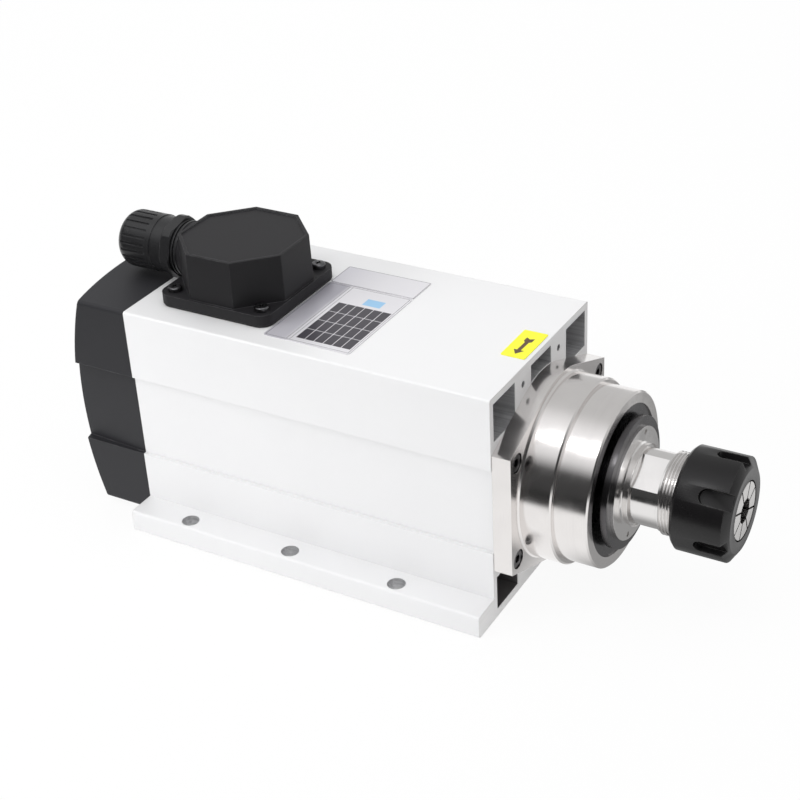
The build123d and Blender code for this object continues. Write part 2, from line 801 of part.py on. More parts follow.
# ================================================================ rear end
def rear_bearing_housing():
    half_width = body_width / 2 - rear_plate_inset
    half_side = rear_screw_z + cap_sink_radius + rear_plate_ear
    outline = flange_outline(stator_bore_radius + rear_plate_rim, half_width, half_side)
    spigot_end = rear + rear_spigot_length
    bearing_radius = rear_bearing_outside / 2
    housing = extrude(on_x(rear) * outline, amount=-rear_plate_thickness)
    housing += rod(stator_bore_radius - press_gap, rear - past, spigot_end)
    housing += rod(bearing_radius + rear_hub_wall, rear_hub_end, rear_plate_end + past)
    housing -= rod(bearing_radius + press_gap, rear_spring_end, spigot_end + past)
    housing -= rod(bearing_radius - rear_lip_height, rear_hub_end - past, spigot_end + past)
    for y, z in rear_screw_places:
        housing -= rod(cap_screw_radius + screw_gap, rear_plate_end - past, rear + past, y, z)
        housing -= rod(cap_sink_radius, rear_plate_end - past, rear_plate_end + cap_sink_depth, y, z)
    return housing


def preload_spring():
    """A wave washer between the housing lip and the rear bearing's outer ring."""
    outer = rear_bearing_outside / 2 - spring_edge
    inner = outer - spring_width
    low = rear_spring_end + spring_wave
    high = low + spring_thickness
    spring = tube(outer, inner, low, high)
    width = spring_crest / 2
    heights = (axis_height + inner + spring_edge, axis_height + outer - spring_edge)
    crest = block(low - spring_wave, low, -width, width, *heights)
    trough = block(high, high + spring_wave, -width, width, *heights)
    for piece in around(crest, spring_waves) + around(trough, spring_waves, 180.0 / spring_waves):
        spring += piece
    return spring


def cooling_fan():
    """An axial fan with twisted blades on a cupped hub."""
    hub = rod(fan_hub_radius, fan_rear, fan_front)
    cup = (fan_hub_radius - fan_hub_wall, fan_seat_radius + fan_hub_wall)
    hub -= tube(*cup, fan_rear + fan_hub_wall, fan_front + past)
    middle = (fan_front + fan_rear) / 2
    sections = []
    for radius, angle in ((fan_hub_radius - fan_hub_wall / 2, fan_root_angle), (fan_radius, fan_tip_angle)):
        place = Plane(origin=(middle, 0, axis_height + radius), x_dir=(1, 0, 0), z_dir=(0, 0, 1))
        sections.append(place * Rot(0, 0, 90 - angle) * Rectangle(fan_blade_chord, fan_blade_thickness))
    blade = loft(sections)
    blade = blade & tube(fan_radius, fan_hub_radius - past, fan_rear, fan_front)
    for piece in around(blade, fan_blade_count):
        hub += piece
    return hub - rod(fan_seat_radius, fan_rear - past, fan_front + past)


def fan_screw():
    """A hexagon screw and washer that hold the fan on the shaft's end."""
    head_start = fan_rear - fan_washer_thickness
    washer = rod(fan_washer_radius, head_start, fan_rear)
    hexagon = RegularPolygon(fan_screw_across / 2, 6, major_radius=False)
    head = extrude(on_x(head_start) * hexagon, amount=-fan_screw_head)
    return washer + head + rod(fan_screw_radius, head_start, fan_rear + fan_screw_reach)


def dome_sagitta(y, z):
    """Distance from the dome's crown plane to its surface at (y, z)."""
    return cover_dome_radius - math.sqrt(cover_dome_radius ** 2 - y ** 2 - z ** 2)


def cover_form(inset):
    """The cover's closed outer form, shrunk by an inset."""
    half = body_width / 2
    recess_low = axis_height - side_recess_below - inset
    recess_high = axis_height + side_recess_above + inset
    heights = (cover_bottom + inset, body_height - inset)
    form = block(cover_crown - past, rear, inset - half, half - inset, *heights)
    corner_edges = form.edges().filter_by(Axis.X)
    form = fillet(corner_edges, cover_edge_radius * (1 - inset / (2 * cover_wall)))
    form = form & Pos(cover_crown + cover_dome_radius, 0, axis_height) * Sphere(cover_dome_radius - inset)
    for side in (-1, 1):
        shallow = side * (half - side_recess_depth - inset)
        deep = side * (half - cover_rear_recess - inset)
        far = cover_crown - past
        outside = side * body_width
        wedge = make_face(Polyline((rear, shallow), (far, deep), (far, outside), (rear, outside), close=True))
        form -= extrude(Plane.XY.offset(recess_low) * wedge, amount=recess_high - recess_low)
    return form


def rear_cover():
    """A domed cap over the fan, with screw towers in its corners and a ring grille."""
    outside = cover_form(0.0)
    cover = outside - cover_form(cover_wall)
    for y, z in port_places:
        cover += rod(cover_tower_radius, cover_crown - past, rear, y, z) & outside
    half = grille_spoke_width / 2
    spoke = block(cover_crown - past, rear, -half, half, axis_height, body_height)
    spokes = around(spoke, grille_spokes)
    for n in range(grille_rings):
        inner = grille_start_radius + n * (grille_slot + grille_bar)
        slot = tube(inner + grille_slot, inner, cover_crown - past, cover_crown + cover_depth / 2)
        cover -= cut_all(slot, spokes)
    for y, z in port_places:
        seat = cover_crown + cover_screw_sink + dome_sagitta(y, z)
        cover -= rod(cover_screw_head_radius + screw_gap, cover_crown - past, seat, y, z)
        cover -= rod(port_radius + screw_gap, cover_crown - past, rear + past, y, z)
    return cover


def rear_cover_screws():
    """Four long pan head screws from the dome into the body's extruded ports."""
    screws = []
    for y, z in port_places:
        seat = cover_crown + cover_screw_sink + dome_sagitta(y, z)
        head = rod(cover_screw_head_radius, seat - cover_screw_head_length, seat, y, z)
        screws.append(head + rod(port_radius - press_gap, seat - past, rear + cover_screw_grip, y, z))
    return screws


# ================================================================ junction box
def box_outline(inset=0.0):
    """The octagon of the box seen from above."""
    octagon = RegularPolygon(box_size / 2 - inset, 8, major_radius=False)
    return Pos(box_x, box_y) * Rot(0, 0, 22.5) * octagon


def base_outline(inset=0.0):
    """The rounded square that carries the four ears."""
    side = box_base_size - 2 * inset
    return Pos(box_x, box_y) * RectangleRounded(side, side, box_corner_radius - inset)


def on_gland(x):
    """A YZ plane at x, centred on the gland's axis."""
    return Plane.YZ.offset(x) * Pos(box_y, gland_z)


def gland_rod(radius, x0, x1):
    """A cylinder along X on the gland's axis."""
    return extrude(on_gland(x0) * Circle(radius), amount=x1 - x0)


def junction_box():
    """An octagonal box on a square base with ears, open below, with a boss for the gland."""
    rise = box_top - gasket_top
    inside = box_rear + box_wall
    box = extrude(Plane.XY.offset(gasket_top) * box_outline(), amount=rise, taper=box_draft)
    box += extrude(Plane.XY.offset(gasket_top) * base_outline(), amount=box_seat - gasket_top)
    boss = gland_rod(gland_entry_radius + gland_boss_wall, boss_face, inside)
    box += boss & block(boss_face - past, inside + past, -body_width, body_width, gasket_top, box_top)
    floor = Plane.XY.offset(gasket_top - past) * box_outline(box_wall)
    box -= extrude(floor, amount=rise - box_top_wall + past, taper=box_draft)
    box -= gland_rod(gland_entry_radius + press_gap, boss_face - past, inside + gland_entry_reach)
    for x, y in box_screw_places():
        box -= post(small_screw_radius + screw_gap, x, y, gasket_top - past, box_seat + past)
    return box


def junction_box_gasket():
    """A flat rubber frame under the box's rim."""
    gasket = extrude(Plane.XY.offset(body_height) * base_outline(gasket_inset), amount=gasket_thickness)
    window = Plane.XY.offset(body_height - past) * box_outline(gasket_width)
    gasket -= extrude(window, amount=gasket_thickness + 2 * past)
    for x, y in box_screw_places():
        gasket -= post(small_screw_radius + screw_gap, x, y, body_height - past, gasket_top + past)
    return gasket


def junction_box_screws():
    """Four pan head screws with a cross recess, through the ears."""
    screws = []
    for x, y in box_screw_places():
        head_top = box_seat + small_head_length
        head = post(small_head_radius, x, y, box_seat, head_top)
        head = fillet(head.edges().group_by(Axis.Z)[-1], small_head_round)
        for angle in (0, 90):
            arm = Box(small_head_radius, small_cross_width, 2 * small_cross_depth)
            head -= Pos(x, y, head_top) * Rot(0, 0, angle) * arm
        screws.append(head + post(small_screw_radius, x, y, body_height - top_wall, box_seat))
    return screws


def terminal_rows():
    """Y of each terminal's centre."""
    pitch = (terminal_length - terminal_barrier) / terminal_poles
    return [box_y + (n - (terminal_poles - 1) / 2) * pitch for n in range(terminal_poles)]


def terminal_block():
    """A barrier strip for three phases and earth, seated on the body under the box."""
    x = box_x + terminal_shift
    half_x = terminal_width / 2
    half_y = terminal_length / 2
    top = body_height + terminal_height
    strip = block(x - half_x, x + half_x, box_y - half_y, box_y + half_y, body_height, top)
    room = (terminal_length - (terminal_poles + 1) * terminal_barrier) / terminal_poles / 2
    for y in terminal_rows():
        strip -= block(x - half_x - past, x + half_x + past, y - room, y + room, terminal_seat, top + past)
        strip -= post(terminal_screw_radius, x, y, body_height + terminal_floor, top)
    return strip


def terminal_screws():
    """Slotted brass screws with square washers, one for each pole."""
    x = box_x + terminal_shift
    washer_x = terminal_width / 2 - terminal_washer_inset
    washer_y = terminal_washer_width / 2
    washer_top = terminal_seat + terminal_washer_thickness
    head_top = washer_top + terminal_head_length
    slot_half = terminal_slot_width / 2
    screws = []
    for y in terminal_rows():
        washer = block(x - washer_x, x + washer_x, y - washer_y, y + washer_y, terminal_seat, washer_top)
        head = post(terminal_head_radius, x, y, washer_top - past / 2, head_top)
        tip = terminal_seat - terminal_screw_reach
        shank = post(terminal_screw_radius - press_gap, x, y, tip, washer_top)
        heights = (head_top - terminal_slot_depth, head_top + past)
        slot = block(x - washer_x, x + washer_x, y - slot_half, y + slot_half, *heights)
        screws.append(washer + head + shank - slot)
    return screws


# ================================================================ cable gland
def gland_body():
    """Entry thread, hexagon and the neck that the cap screws on."""
    entry_end = box_rear + box_wall + gland_entry_reach
    reach = gland_hex_across / 2 + gland_hex_corner
    hexagon = RegularPolygon(gland_hex_across / 2, 6, major_radius=False)
    body = extrude(on_gland(gland_hex_end) * Rot(0, 0, gland_hex_turn) * hexagon, amount=gland_hex_length)
    round_off = gland_rod(reach, gland_hex_end, gland_nut_end)
    body = body & chamfer(round_off.edges().filter_by(GeomType.CIRCLE), gland_hex_bevel)
    body += gland_rod(gland_entry_radius, gland_nut_end - past, entry_end)
    body += gland_rod(gland_neck_radius, gland_neck_end, gland_hex_end + past)
    body -= gland_rod(gland_bore_radius, gland_neck_end - past, entry_end + past)
    return body - gland_rod(gland_seal_radius + press_gap, gland_neck_end - past, gland_hex_end)


def gland_locknut():
    """A round nut with two flanges and a groove between them, against the box's boss."""
    nut = gland_rod(gland_nut_radius, gland_nut_end, boss_face)
    groove_ends = (gland_nut_end + gland_nut_flange, boss_face - gland_nut_flange)
    groove = gland_rod(gland_nut_radius + past, *groove_ends)
    groove -= gland_rod(gland_nut_radius - gland_nut_groove, gland_nut_end, boss_face)
    return nut - groove - gland_rod(gland_entry_radius + press_gap, gland_nut_end - past, boss_face + past)


def gland_seal():
    """The rubber sleeve that grips the cable inside the neck."""
    return gland_rod(gland_seal_radius, gland_seal_end, gland_hex_end) - gland_rod(
        cable_radius, gland_seal_end - past, gland_hex_end + past
    )


def gland_cap():
    """A domed sealing cap with fine grooves along its sides and a plain collar."""
    collar_end = gland_hex_end - gland_collar_length
    cap = gland_rod(gland_cap_radius, gland_cap_end, collar_end)
    cap = fillet(cap.edges().group_by(Axis.X)[0], gland_cap_round)
    half = gland_rib_width / 2
    floor = gland_cap_radius - gland_rib_depth
    rib_ends = (gland_cap_end + gland_cap_round * 2 / 3, collar_end - gland_rib_margin)
    groove = block(*rib_ends, -half, half, floor, gland_cap_radius + past)
    for n in range(gland_rib_count):
        cap -= Pos(0, box_y, gland_z) * groove.rotate(Axis.X, 360.0 * n / gland_rib_count)
    cap += gland_rod(gland_cap_radius - gland_collar_step, collar_end - past, gland_hex_end)
    cap -= gland_rod(gland_neck_radius + press_gap, gland_neck_end, gland_hex_end + past)
    cap -= gland_rod(gland_seal_radius + press_gap, gland_seal_end - gland_seal_room, gland_hex_end)
    return cap - gland_rod(gland_cap_mouth, gland_cap_end - past, gland_hex_end)


# ================================================================ plates
def flat_plate(x, y, length, width, radius):
    """A thin plate stuck to the body's top face."""
    outline = Pos(x, y) * RectangleRounded(length, width, radius)
    return extrude(Plane.XY.offset(body_height) * outline, amount=plate_thickness)


def rating_plate():
    size = (rating_plate_length, rating_plate_width, rating_plate_radius)
    return flat_plate(plates_x, rating_plate_shift, *size)


def info_plate():
    y = rating_plate_shift + rating_plate_width / 2 + plate_gap + info_plate_width / 2
    return flat_plate(plates_x, y, rating_plate_length, info_plate_width, info_plate_radius)


def rotation_label():
    x = front - arrow_label_setback
    return flat_plate(x, 0, arrow_label_length, arrow_label_width, arrow_label_radius)


# ================================================================ the parts
outer_rings, inner_rings, cages, balls = front_bearings()
rear_outer_ring, rear_inner_ring, rear_cage, rear_balls = rear_bearing()
front_seat = (front, 1, flange_thickness, flange_screw_depth)
rear_seat = (rear, -1, rear_plate_thickness, rear_screw_depth)
parts = {
    "motor_body": [motor_body()],
    "front_housing": [front_housing()],
    "front_housing_screws": flange_screws(*front_seat, flange_screw_places),
    "front_bearing_outer_rings": outer_rings,
    "front_outer_spacer": [front_outer_spacer()],
    "front_bearing_inner_rings": inner_rings,
    "front_inner_spacer": [front_inner_spacer()],
    "front_bearing_cages": cages,
    "front_bearing_balls": balls,
    "bearing_lock_nut": [bearing_lock_nut()],
    "front_bearing_cap": [front_bearing_cap()],
    "spindle_shaft": [spindle_shaft()],
    "dust_ring": [dust_ring()],
    "collet": [collet()],
    "collet_nut": [collet_nut()],
    "extraction_ring": [extraction_ring()],
    "rotor_core": [rotor_core()],
    "rotor_end_rings": rotor_end_rings(),
    "stator_core": [stator_core()],
    "stator_windings": [stator_windings()],
    "rear_bearing_housing": [rear_bearing_housing()],
    "rear_housing_screws": flange_screws(*rear_seat, rear_screw_places),
    "rear_bearing_outer_ring": [rear_outer_ring],
    "rear_bearing_inner_ring": [rear_inner_ring],
    "rear_bearing_cage": [rear_cage],
    "rear_bearing_balls": rear_balls,
    "preload_spring": [preload_spring()],
    "cooling_fan": [cooling_fan()],
    "fan_screw": [fan_screw()],
    "rear_cover": [rear_cover()],
    "rear_cover_screws": rear_cover_screws(),
    "junction_box": [junction_box()],
    "junction_box_gasket": [junction_box_gasket()],
    "junction_box_screws": junction_box_screws(),
    "terminal_block": [terminal_block()],
    "terminal_screws": terminal_screws(),
    "gland_body": [gland_body()],
    "gland_locknut": [gland_locknut()],
    "gland_seal": [gland_seal()],
    "gland_cap": [gland_cap()],
    "rating_plate": [rating_plate()],
    "info_plate": [info_plate()],
    "rotation_label": [rotation_label()],
}

os.makedirs("parts", exist_ok=True)
for name, shapes in parts.items():
    solids = [solid for shape in shapes for solid in shape.solids()]
    whole = Compound(children=solids) if len(solids) > 1 else solids[0]
    export_step(whole, os.path.join("parts", name + ".step"))
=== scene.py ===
import json
import math

import bpy
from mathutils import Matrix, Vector

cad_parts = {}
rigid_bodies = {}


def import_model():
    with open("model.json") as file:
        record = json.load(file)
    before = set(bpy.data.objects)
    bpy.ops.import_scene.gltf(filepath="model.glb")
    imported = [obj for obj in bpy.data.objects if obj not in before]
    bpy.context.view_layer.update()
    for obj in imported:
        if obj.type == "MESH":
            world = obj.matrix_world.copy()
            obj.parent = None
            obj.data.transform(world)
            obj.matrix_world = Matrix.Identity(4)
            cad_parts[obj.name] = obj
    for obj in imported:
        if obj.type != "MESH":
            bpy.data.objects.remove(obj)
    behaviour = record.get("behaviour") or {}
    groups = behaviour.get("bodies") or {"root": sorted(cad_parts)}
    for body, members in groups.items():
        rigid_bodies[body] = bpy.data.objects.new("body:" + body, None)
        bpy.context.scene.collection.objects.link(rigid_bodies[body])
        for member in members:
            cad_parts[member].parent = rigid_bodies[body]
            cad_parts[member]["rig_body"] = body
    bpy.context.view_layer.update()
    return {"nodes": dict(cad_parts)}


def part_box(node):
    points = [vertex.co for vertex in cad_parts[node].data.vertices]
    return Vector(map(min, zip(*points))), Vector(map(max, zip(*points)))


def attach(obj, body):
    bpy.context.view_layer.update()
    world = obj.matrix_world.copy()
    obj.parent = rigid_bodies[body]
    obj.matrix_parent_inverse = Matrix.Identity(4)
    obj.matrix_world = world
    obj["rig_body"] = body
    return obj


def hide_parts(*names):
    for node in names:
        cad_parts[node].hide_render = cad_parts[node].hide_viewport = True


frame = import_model()
bpy.ops.object.select_all(action="DESELECT")


# ---------------------------------------------------------------- motor body
# The body is one length of extruded aluminium with two mounting feet. It is painted silver-white all
# round, then sawn and milled, so its end faces, its ducts and its bores are bare metal with fine tool lines.
body_front = 0.1088
body_rear = -0.0942
body_half_width = 0.0525
body_top = 0.1212
paint_depth = 0.0004
duct_wall = 0.0023
foot_hole_pitch = 0.061
foot_hole_row = 0.062
foot_hole_radius = 0.0046
body_white = (0.83, 0.83, 0.835, 1)
body_white_shade = (0.79, 0.79, 0.80, 1)
bare_aluminium = (0.78, 0.78, 0.79, 1)
bare_aluminium_dull = (0.58, 0.58, 0.59, 1)
milled_aluminium = (0.84, 0.835, 0.835, 1)
milled_aluminium_dull = (0.74, 0.735, 0.735, 1)
# Painted shade: the darker colour given to the bare metal deep in the lower ducts.
duct_shade_aluminium = (0.27, 0.26, 0.265, 1)
lower_ducts_top = 0.032
end_face_depth = 0.0002
cloud_scale = 14.0
die_line_scale = 900.0
mill_line_scale = 2600.0
orange_peel_scale = 1400.0
paint_relief = 0.00001


class Signal:
    """A value inside a shading. Arithmetic on it adds the Math nodes that work it out."""

    def __init__(self, shading, socket):
        self.shading = shading
        self.socket = socket

    def __add__(self, other):
        return self.shading.maths("ADD", self, other)

    def __mul__(self, other):
        return self.shading.maths("MULTIPLY", self, other)

    def __sub__(self, other):
        return self.shading.maths("SUBTRACT", self, other)

    def __truediv__(self, other):
        return self.shading.maths("DIVIDE", self, other)

    def __pow__(self, other):
        return self.shading.maths("POWER", self, other)

    def __mod__(self, other):
        return self.shading.maths("FLOORED_MODULO", self, other)

    def __gt__(self, other):
        return self.shading.maths("GREATER_THAN", self, other)

    def __lt__(self, other):
        return self.shading.maths("LESS_THAN", self, other)

    def __rsub__(self, other):
        return self.shading.maths("SUBTRACT", other, self)

    def __abs__(self):
        return self.shading.maths("ABSOLUTE", self)

    __radd__ = __add__
    __rmul__ = __mul__

    def ease(self, low, high):
        """Rises smoothly from 0 at low to 1 at high."""
        settings = {"interpolation_type": "SMOOTHSTEP"}
        return self.shading.node("MapRange", settings, {"Value": self, "From Min": low, "From Max": high})


class Shading:
    """A tree of nodes, of a material or of the sky, and the ways to add to it."""

    def __init__(self, tree):
        self.nodes = tree.nodes
        self.links = tree.links

    def node(self, kind, settings, inputs, output=0):
        """Adds one node: its settings first, then the values or links of its sockets."""
        added = self.nodes.new("ShaderNode" + kind)
        for key, value in settings.items():
            if key == "stops":
                self.set_stops(added.color_ramp.elements, value)
            else:
                setattr(added, key, value)
        for key, value in inputs.items():
            if isinstance(value, Signal):
                self.links.new(value.socket, added.inputs[key])
            else:
                added.inputs[key].default_value = value
        return Signal(self, added.outputs[output])

    def set_stops(self, elements, stops):
        """Gives a ramp its stops, each a place and a colour."""
        for place, colour in stops[1:-1]:
            elements.new(place)
        for element, (place, colour) in zip(elements, stops):
            element.position = place
            element.color = colour

    def maths(self, operation, *values):
        return self.node("Math", {"operation": operation}, dict(enumerate(values)))

    def mix(self, amount, first, second):
        """Goes from the first colour to the second as the amount goes from 0 to 1."""
        return self.node("Mix", {"data_type": "RGBA"}, {0: amount, 6: first, 7: second}, 2)


class Finish(Shading):
    """The material of one kind of piece: its shader, and what varies over the surface."""

    def __init__(self, name, **constants):
        self.material = bpy.data.materials.new(name)
        self.material.use_nodes = True
        super().__init__(self.material.node_tree)
        self.shader = self.nodes["Principled BSDF"]
        self.place = self.node("TexCoord", {}, {}, "Object")
        self.x = self.node("SeparateXYZ", {}, {0: self.place}, "X")
        self.y = self.node("SeparateXYZ", {}, {0: self.place}, "Y")
        self.z = self.node("SeparateXYZ", {}, {0: self.place}, "Z")
        self.drive(**constants)

    def grain(self, scale, stretch=(1, 1, 1), detail=3.0, place=None):
        """Noise from 0 to 1; a stretch below 1 draws it out along that axis."""
        where = self.node("Mapping", {}, {"Vector": place or self.place, "Scale": stretch})
        return self.node("TexNoise", {}, {"Vector": where, "Scale": scale, "Detail": detail})

    def worn_edge(self, radius):
        """1 on sharp outer and inner edges, and 0 on the flats."""
        bent = self.node("Bevel", {"samples": 4}, {"Radius": radius})
        flat = self.node("NewGeometry", {}, {}, "Normal")
        along = self.node("VectorMath", {"operation": "DOT_PRODUCT"}, {0: bent, 1: flat}, "Value")
        return (1.0 - along).ease(0.01, 0.22)

    def relief(self, height, depth, edge_radius=0.0003):
        """Gives the surface a fine relief of that depth, over edges rounded by the given radius."""
        bent = self.node("Bevel", {"samples": 4}, {"Radius": edge_radius})
        bump = self.node("Bump", {}, {"Height": height, "Distance": depth, "Strength": 1.0, "Normal": bent})
        self.drive(normal=bump)

    def drive(self, **sockets):
        """Sets or links the shader's sockets, named in small letters."""
        for key, value in sockets.items():
            socket = self.shader.inputs[key.replace("_", " ").title().replace("Ior", "IOR")]
            if isinstance(value, Signal):
                self.links.new(value.socket, socket)
            else:
                socket.default_value = value


def wear(finish, *names):
    """Puts a finish on CAD nodes that keep their own mesh."""
    for name in names:
        frame["nodes"][name].material_slots[0].material = finish.material


paint = Finish("silver_white_paint", ior=1.5, coat_roughness=0.25)
end_faces = (paint.x > body_front - end_face_depth) + (paint.x < body_rear + end_face_depth)
between_walls = (abs(paint.y) < body_half_width - duct_wall) * (paint.z > paint_depth)
ducts = between_walls * (paint.z < body_top - paint_depth)
along_feet = (paint.x + foot_hole_pitch / 2) % foot_hole_pitch - foot_hole_pitch / 2
across_feet = abs(paint.y) - foot_hole_row
foot_holes = (along_feet * along_feet + across_feet * across_feet) < foot_hole_radius ** 2
bare = (end_faces + ducts + foot_holes) > 0.5
clouds = paint.grain(cloud_scale)
die_lines = paint.grain(die_line_scale, (0.01, 1, 1))
mill_lines = paint.grain(mill_line_scale, (1, 0.015, 1))
white = paint.mix(clouds, body_white, body_white_shade)
metal = paint.mix(die_lines.ease(0.3, 0.7), bare_aluminium_dull, bare_aluminium)
# Painted shade: the lower ducts' bare metal is darkened for the shade deep inside them.
painted_duct_shade = ducts * (1.0 - end_faces) * (paint.z < lower_ducts_top)
metal = paint.mix(painted_duct_shade, metal, duct_shade_aluminium)
milled = paint.mix(mill_lines, milled_aluminium_dull, milled_aluminium)
metal = paint.mix(end_faces, metal, milled)
paint.drive(
    base_color=paint.mix(bare, white, metal),
    metallic=0.75 * bare - 0.45 * end_faces,
    roughness=0.40 + 0.06 * clouds + 0.06 * bare * mill_lines,
    coat_weight=0.15 * (1.0 - bare),
)
orange_peel = paint.grain(orange_peel_scale, detail=2.0) * 0.25
tooling = end_faces * mill_lines * 0.3 + (1.0 - end_faces) * die_lines
paint.relief(orange_peel * (1.0 - bare) + bare * tooling, paint_relief)
wear(paint, "motor_body")


# ---------------------------------------------------------------- stator
# A stack of thin silicon-steel sheets pressed into the bore, with slots of enamelled copper wire whose
# end turns are laced and varnished at both ends.
sheet_pitch = 0.0005
steel_blue = (0.16, 0.17, 0.19, 1)
steel_gap = (0.04, 0.04, 0.045, 1)
varnished_copper = (0.50, 0.17, 0.05, 1)
varnish_dark = (0.24, 0.07, 0.02, 1)

sheets = Finish("stacked_steel_sheets", metallic=1.0, roughness=0.42)
sheet_edge = (sheets.x % sheet_pitch / sheet_pitch).ease(0.0, 0.35)
sheets.drive(base_color=sheets.mix(sheet_edge, steel_gap, steel_blue))
sheets.relief(sheet_edge + 0.3 * sheets.grain(1500.0), depth=0.00004)
wear(sheets, "stator_core", "rotor_core")

copper = Finish("varnished_copper_wire", ior=1.5, coat_roughness=0.2)
strands = copper.grain(900.0, (1, 1, 0.12), detail=2.0).ease(0.35, 0.65)
copper.drive(
    base_color=copper.mix(strands, varnish_dark, varnished_copper),
    metallic=0.6 * strands,
    roughness=0.30 + 0.15 * copper.grain(120.0),
    coat_weight=0.5,
)
copper.relief(strands, depth=0.00020)
wear(copper, "stator_windings")


# ---------------------------------------------------------------- rotor ends and rear bearing housing
# The rotor's end rings and the rear bearing housing are cast aluminium. Skin from the mould stays on them
# as a soft grain, and the seats are turned bright.
cast_grey = (0.52, 0.53, 0.54, 1)
cast_shadow = (0.33, 0.34, 0.35, 1)

casting = Finish("cast_aluminium", metallic=1.0)
skin = casting.grain(420.0, detail=5.0)
casting.drive(
    base_color=casting.mix(skin.ease(0.3, 0.75), cast_shadow, cast_grey),
    roughness=0.36 + 0.22 * skin,
)
casting.relief(skin, depth=0.00010)
wear(casting, "rotor_end_rings", "rear_bearing_housing")


# ---------------------------------------------------------------- spindle shaft
# The shaft is hardened steel, turned and ground: a collar with four balance holes, a neck with two wrench
# flats, and a fine thread of 1.5 mm pitch that carries the nut. The CAD node's copy has its neck set further
# back and its thread turned down to the core, and the thread is one helical ridge around that core.
axis_height = 0.0605
cad_thread_start = 0.1754
thread_start = 0.1744
thread_end = 0.2018
thread_pitch = 0.0015
thread_crest = 0.020
thread_core = 0.01908
thread_end_radius = 0.0188
ridge_foot = 0.0013
ridge_top = 0.0001
ridge_sink = 0.0002
ridge_steps = 72
thread_start_turn = 235.0
# Each row holds the CAD's place and the finished one, in turn of the hole floors, the collar's face, the
# cone's end, the ring, the plain part and the flats.
neck_places = (
    (0.1572, 0.1564),
    (0.1592, 0.1578),
    (0.1602, 0.1584),
    (0.1626, 0.1591),
    (0.1642, 0.1601),
    (0.1653, 0.1610),
)
neck_cone = (0.1591, 0.1603)
neck_cone_reach = 0.0227
neck_squeeze = 0.91
same_place = 0.00001
join_distance = 0.000001
flat_angle = 0.5
shaft_turn = 33.0
ground_steel = (0.90, 0.885, 0.875, 1)
ground_steel_dull = (0.70, 0.685, 0.675, 1)


def turned_steel(name, bright, dull, roughness, line_scale=5200.0, line_depth=0.000004):
    """Steel turned about the spindle axis, with fine tool lines and faint smudges."""
    steel = Finish(name, metallic=1.0)
    radius = (steel.y * steel.y + (steel.z - axis_height) ** 2) ** 0.5
    profile = steel.node("CombineXYZ", {}, {0: steel.x, 1: radius})
    lines = steel.grain(line_scale, detail=2.0, place=profile)
    smudges = steel.grain(60.0, detail=4.0)
    steel.drive(
        base_color=steel.mix(0.5 * lines + 0.5 * smudges, dull, bright),
        roughness=roughness + 0.10 * lines + 0.10 * smudges.ease(0.45, 0.75),
    )
    steel.relief(lines, line_depth, edge_radius=0.0002)
    return steel


def alone(piece):
    """Makes one piece the only one selected, and the active one."""
    bpy.ops.object.select_all(action="DESELECT")
    piece.select_set(True)
    bpy.context.view_layer.objects.active = piece


def merged_copy(name, node):
    """A copy of a CAD node with its loose triangles joined and its flat faces made whole."""
    piece = bpy.data.objects.new(name, frame["nodes"][node].data.copy())
    bpy.context.scene.collection.objects.link(piece)
    alone(piece)
    bpy.ops.object.mode_set(mode="EDIT")
    bpy.ops.mesh.select_all(action="SELECT")
    bpy.ops.mesh.customdata_custom_splitnormals_clear()
    bpy.ops.mesh.remove_doubles(threshold=join_distance)
    bpy.ops.mesh.dissolve_limited(angle_limit=math.radians(flat_angle))
    bpy.ops.object.mode_set(mode="OBJECT")
    return piece


def turn_about_axis(piece, degrees):
    """Turns a piece's mesh about the spindle axis; positive takes its top towards -Y."""
    alone(piece)
    bpy.ops.object.mode_set(mode="EDIT")
    bpy.ops.mesh.select_all(action="SELECT")
    bpy.ops.transform.rotate(
        value=-math.radians(degrees),
        orient_axis="X",
        orient_type="GLOBAL",
        center_override=(0, 0, axis_height),
    )
    bpy.ops.object.mode_set(mode="OBJECT")


def smooth(piece, degrees=30):
    """Shades a piece smooth, apart from edges sharper than the angle."""
    alone(piece)
    bpy.ops.object.shade_smooth_by_angle(angle=math.radians(degrees))


def stand_for(piece, finish, slot, *nodes):
    """Gives a finished piece its material, and lets it move with and replace its CAD nodes."""
    piece.data.materials.clear()
    piece.data.materials.append(finish.material)
    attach(piece, frame["nodes"][nodes[0]]["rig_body"])
    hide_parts(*nodes)


shaft_steel = turned_steel("ground_shaft_steel", ground_steel, ground_steel_dull, roughness=0.10)
shaft = merged_copy("threaded_shaft", "spindle_shaft")
for vertex in shaft.data.vertices:
    x, y, z = vertex.co
    reach = math.hypot(y, z - axis_height)
    if x > thread_start and reach > thread_core:
        vertex.co.y = y * thread_core / reach
        vertex.co.z = axis_height + (z - axis_height) * thread_core / reach
    if abs(x - cad_thread_start) < same_place:
        vertex.co.x = thread_start
    for cad_place, place in neck_places:
        if abs(x - cad_place) < same_place:
            vertex.co.x = place
    if neck_cone[0] < x < neck_cone[1] and reach < neck_cone_reach:
        vertex.co.y = y * neck_squeeze
        vertex.co.z = axis_height + (z - axis_height) * neck_squeeze
turn_about_axis(shaft, shaft_turn)
smooth(shaft)

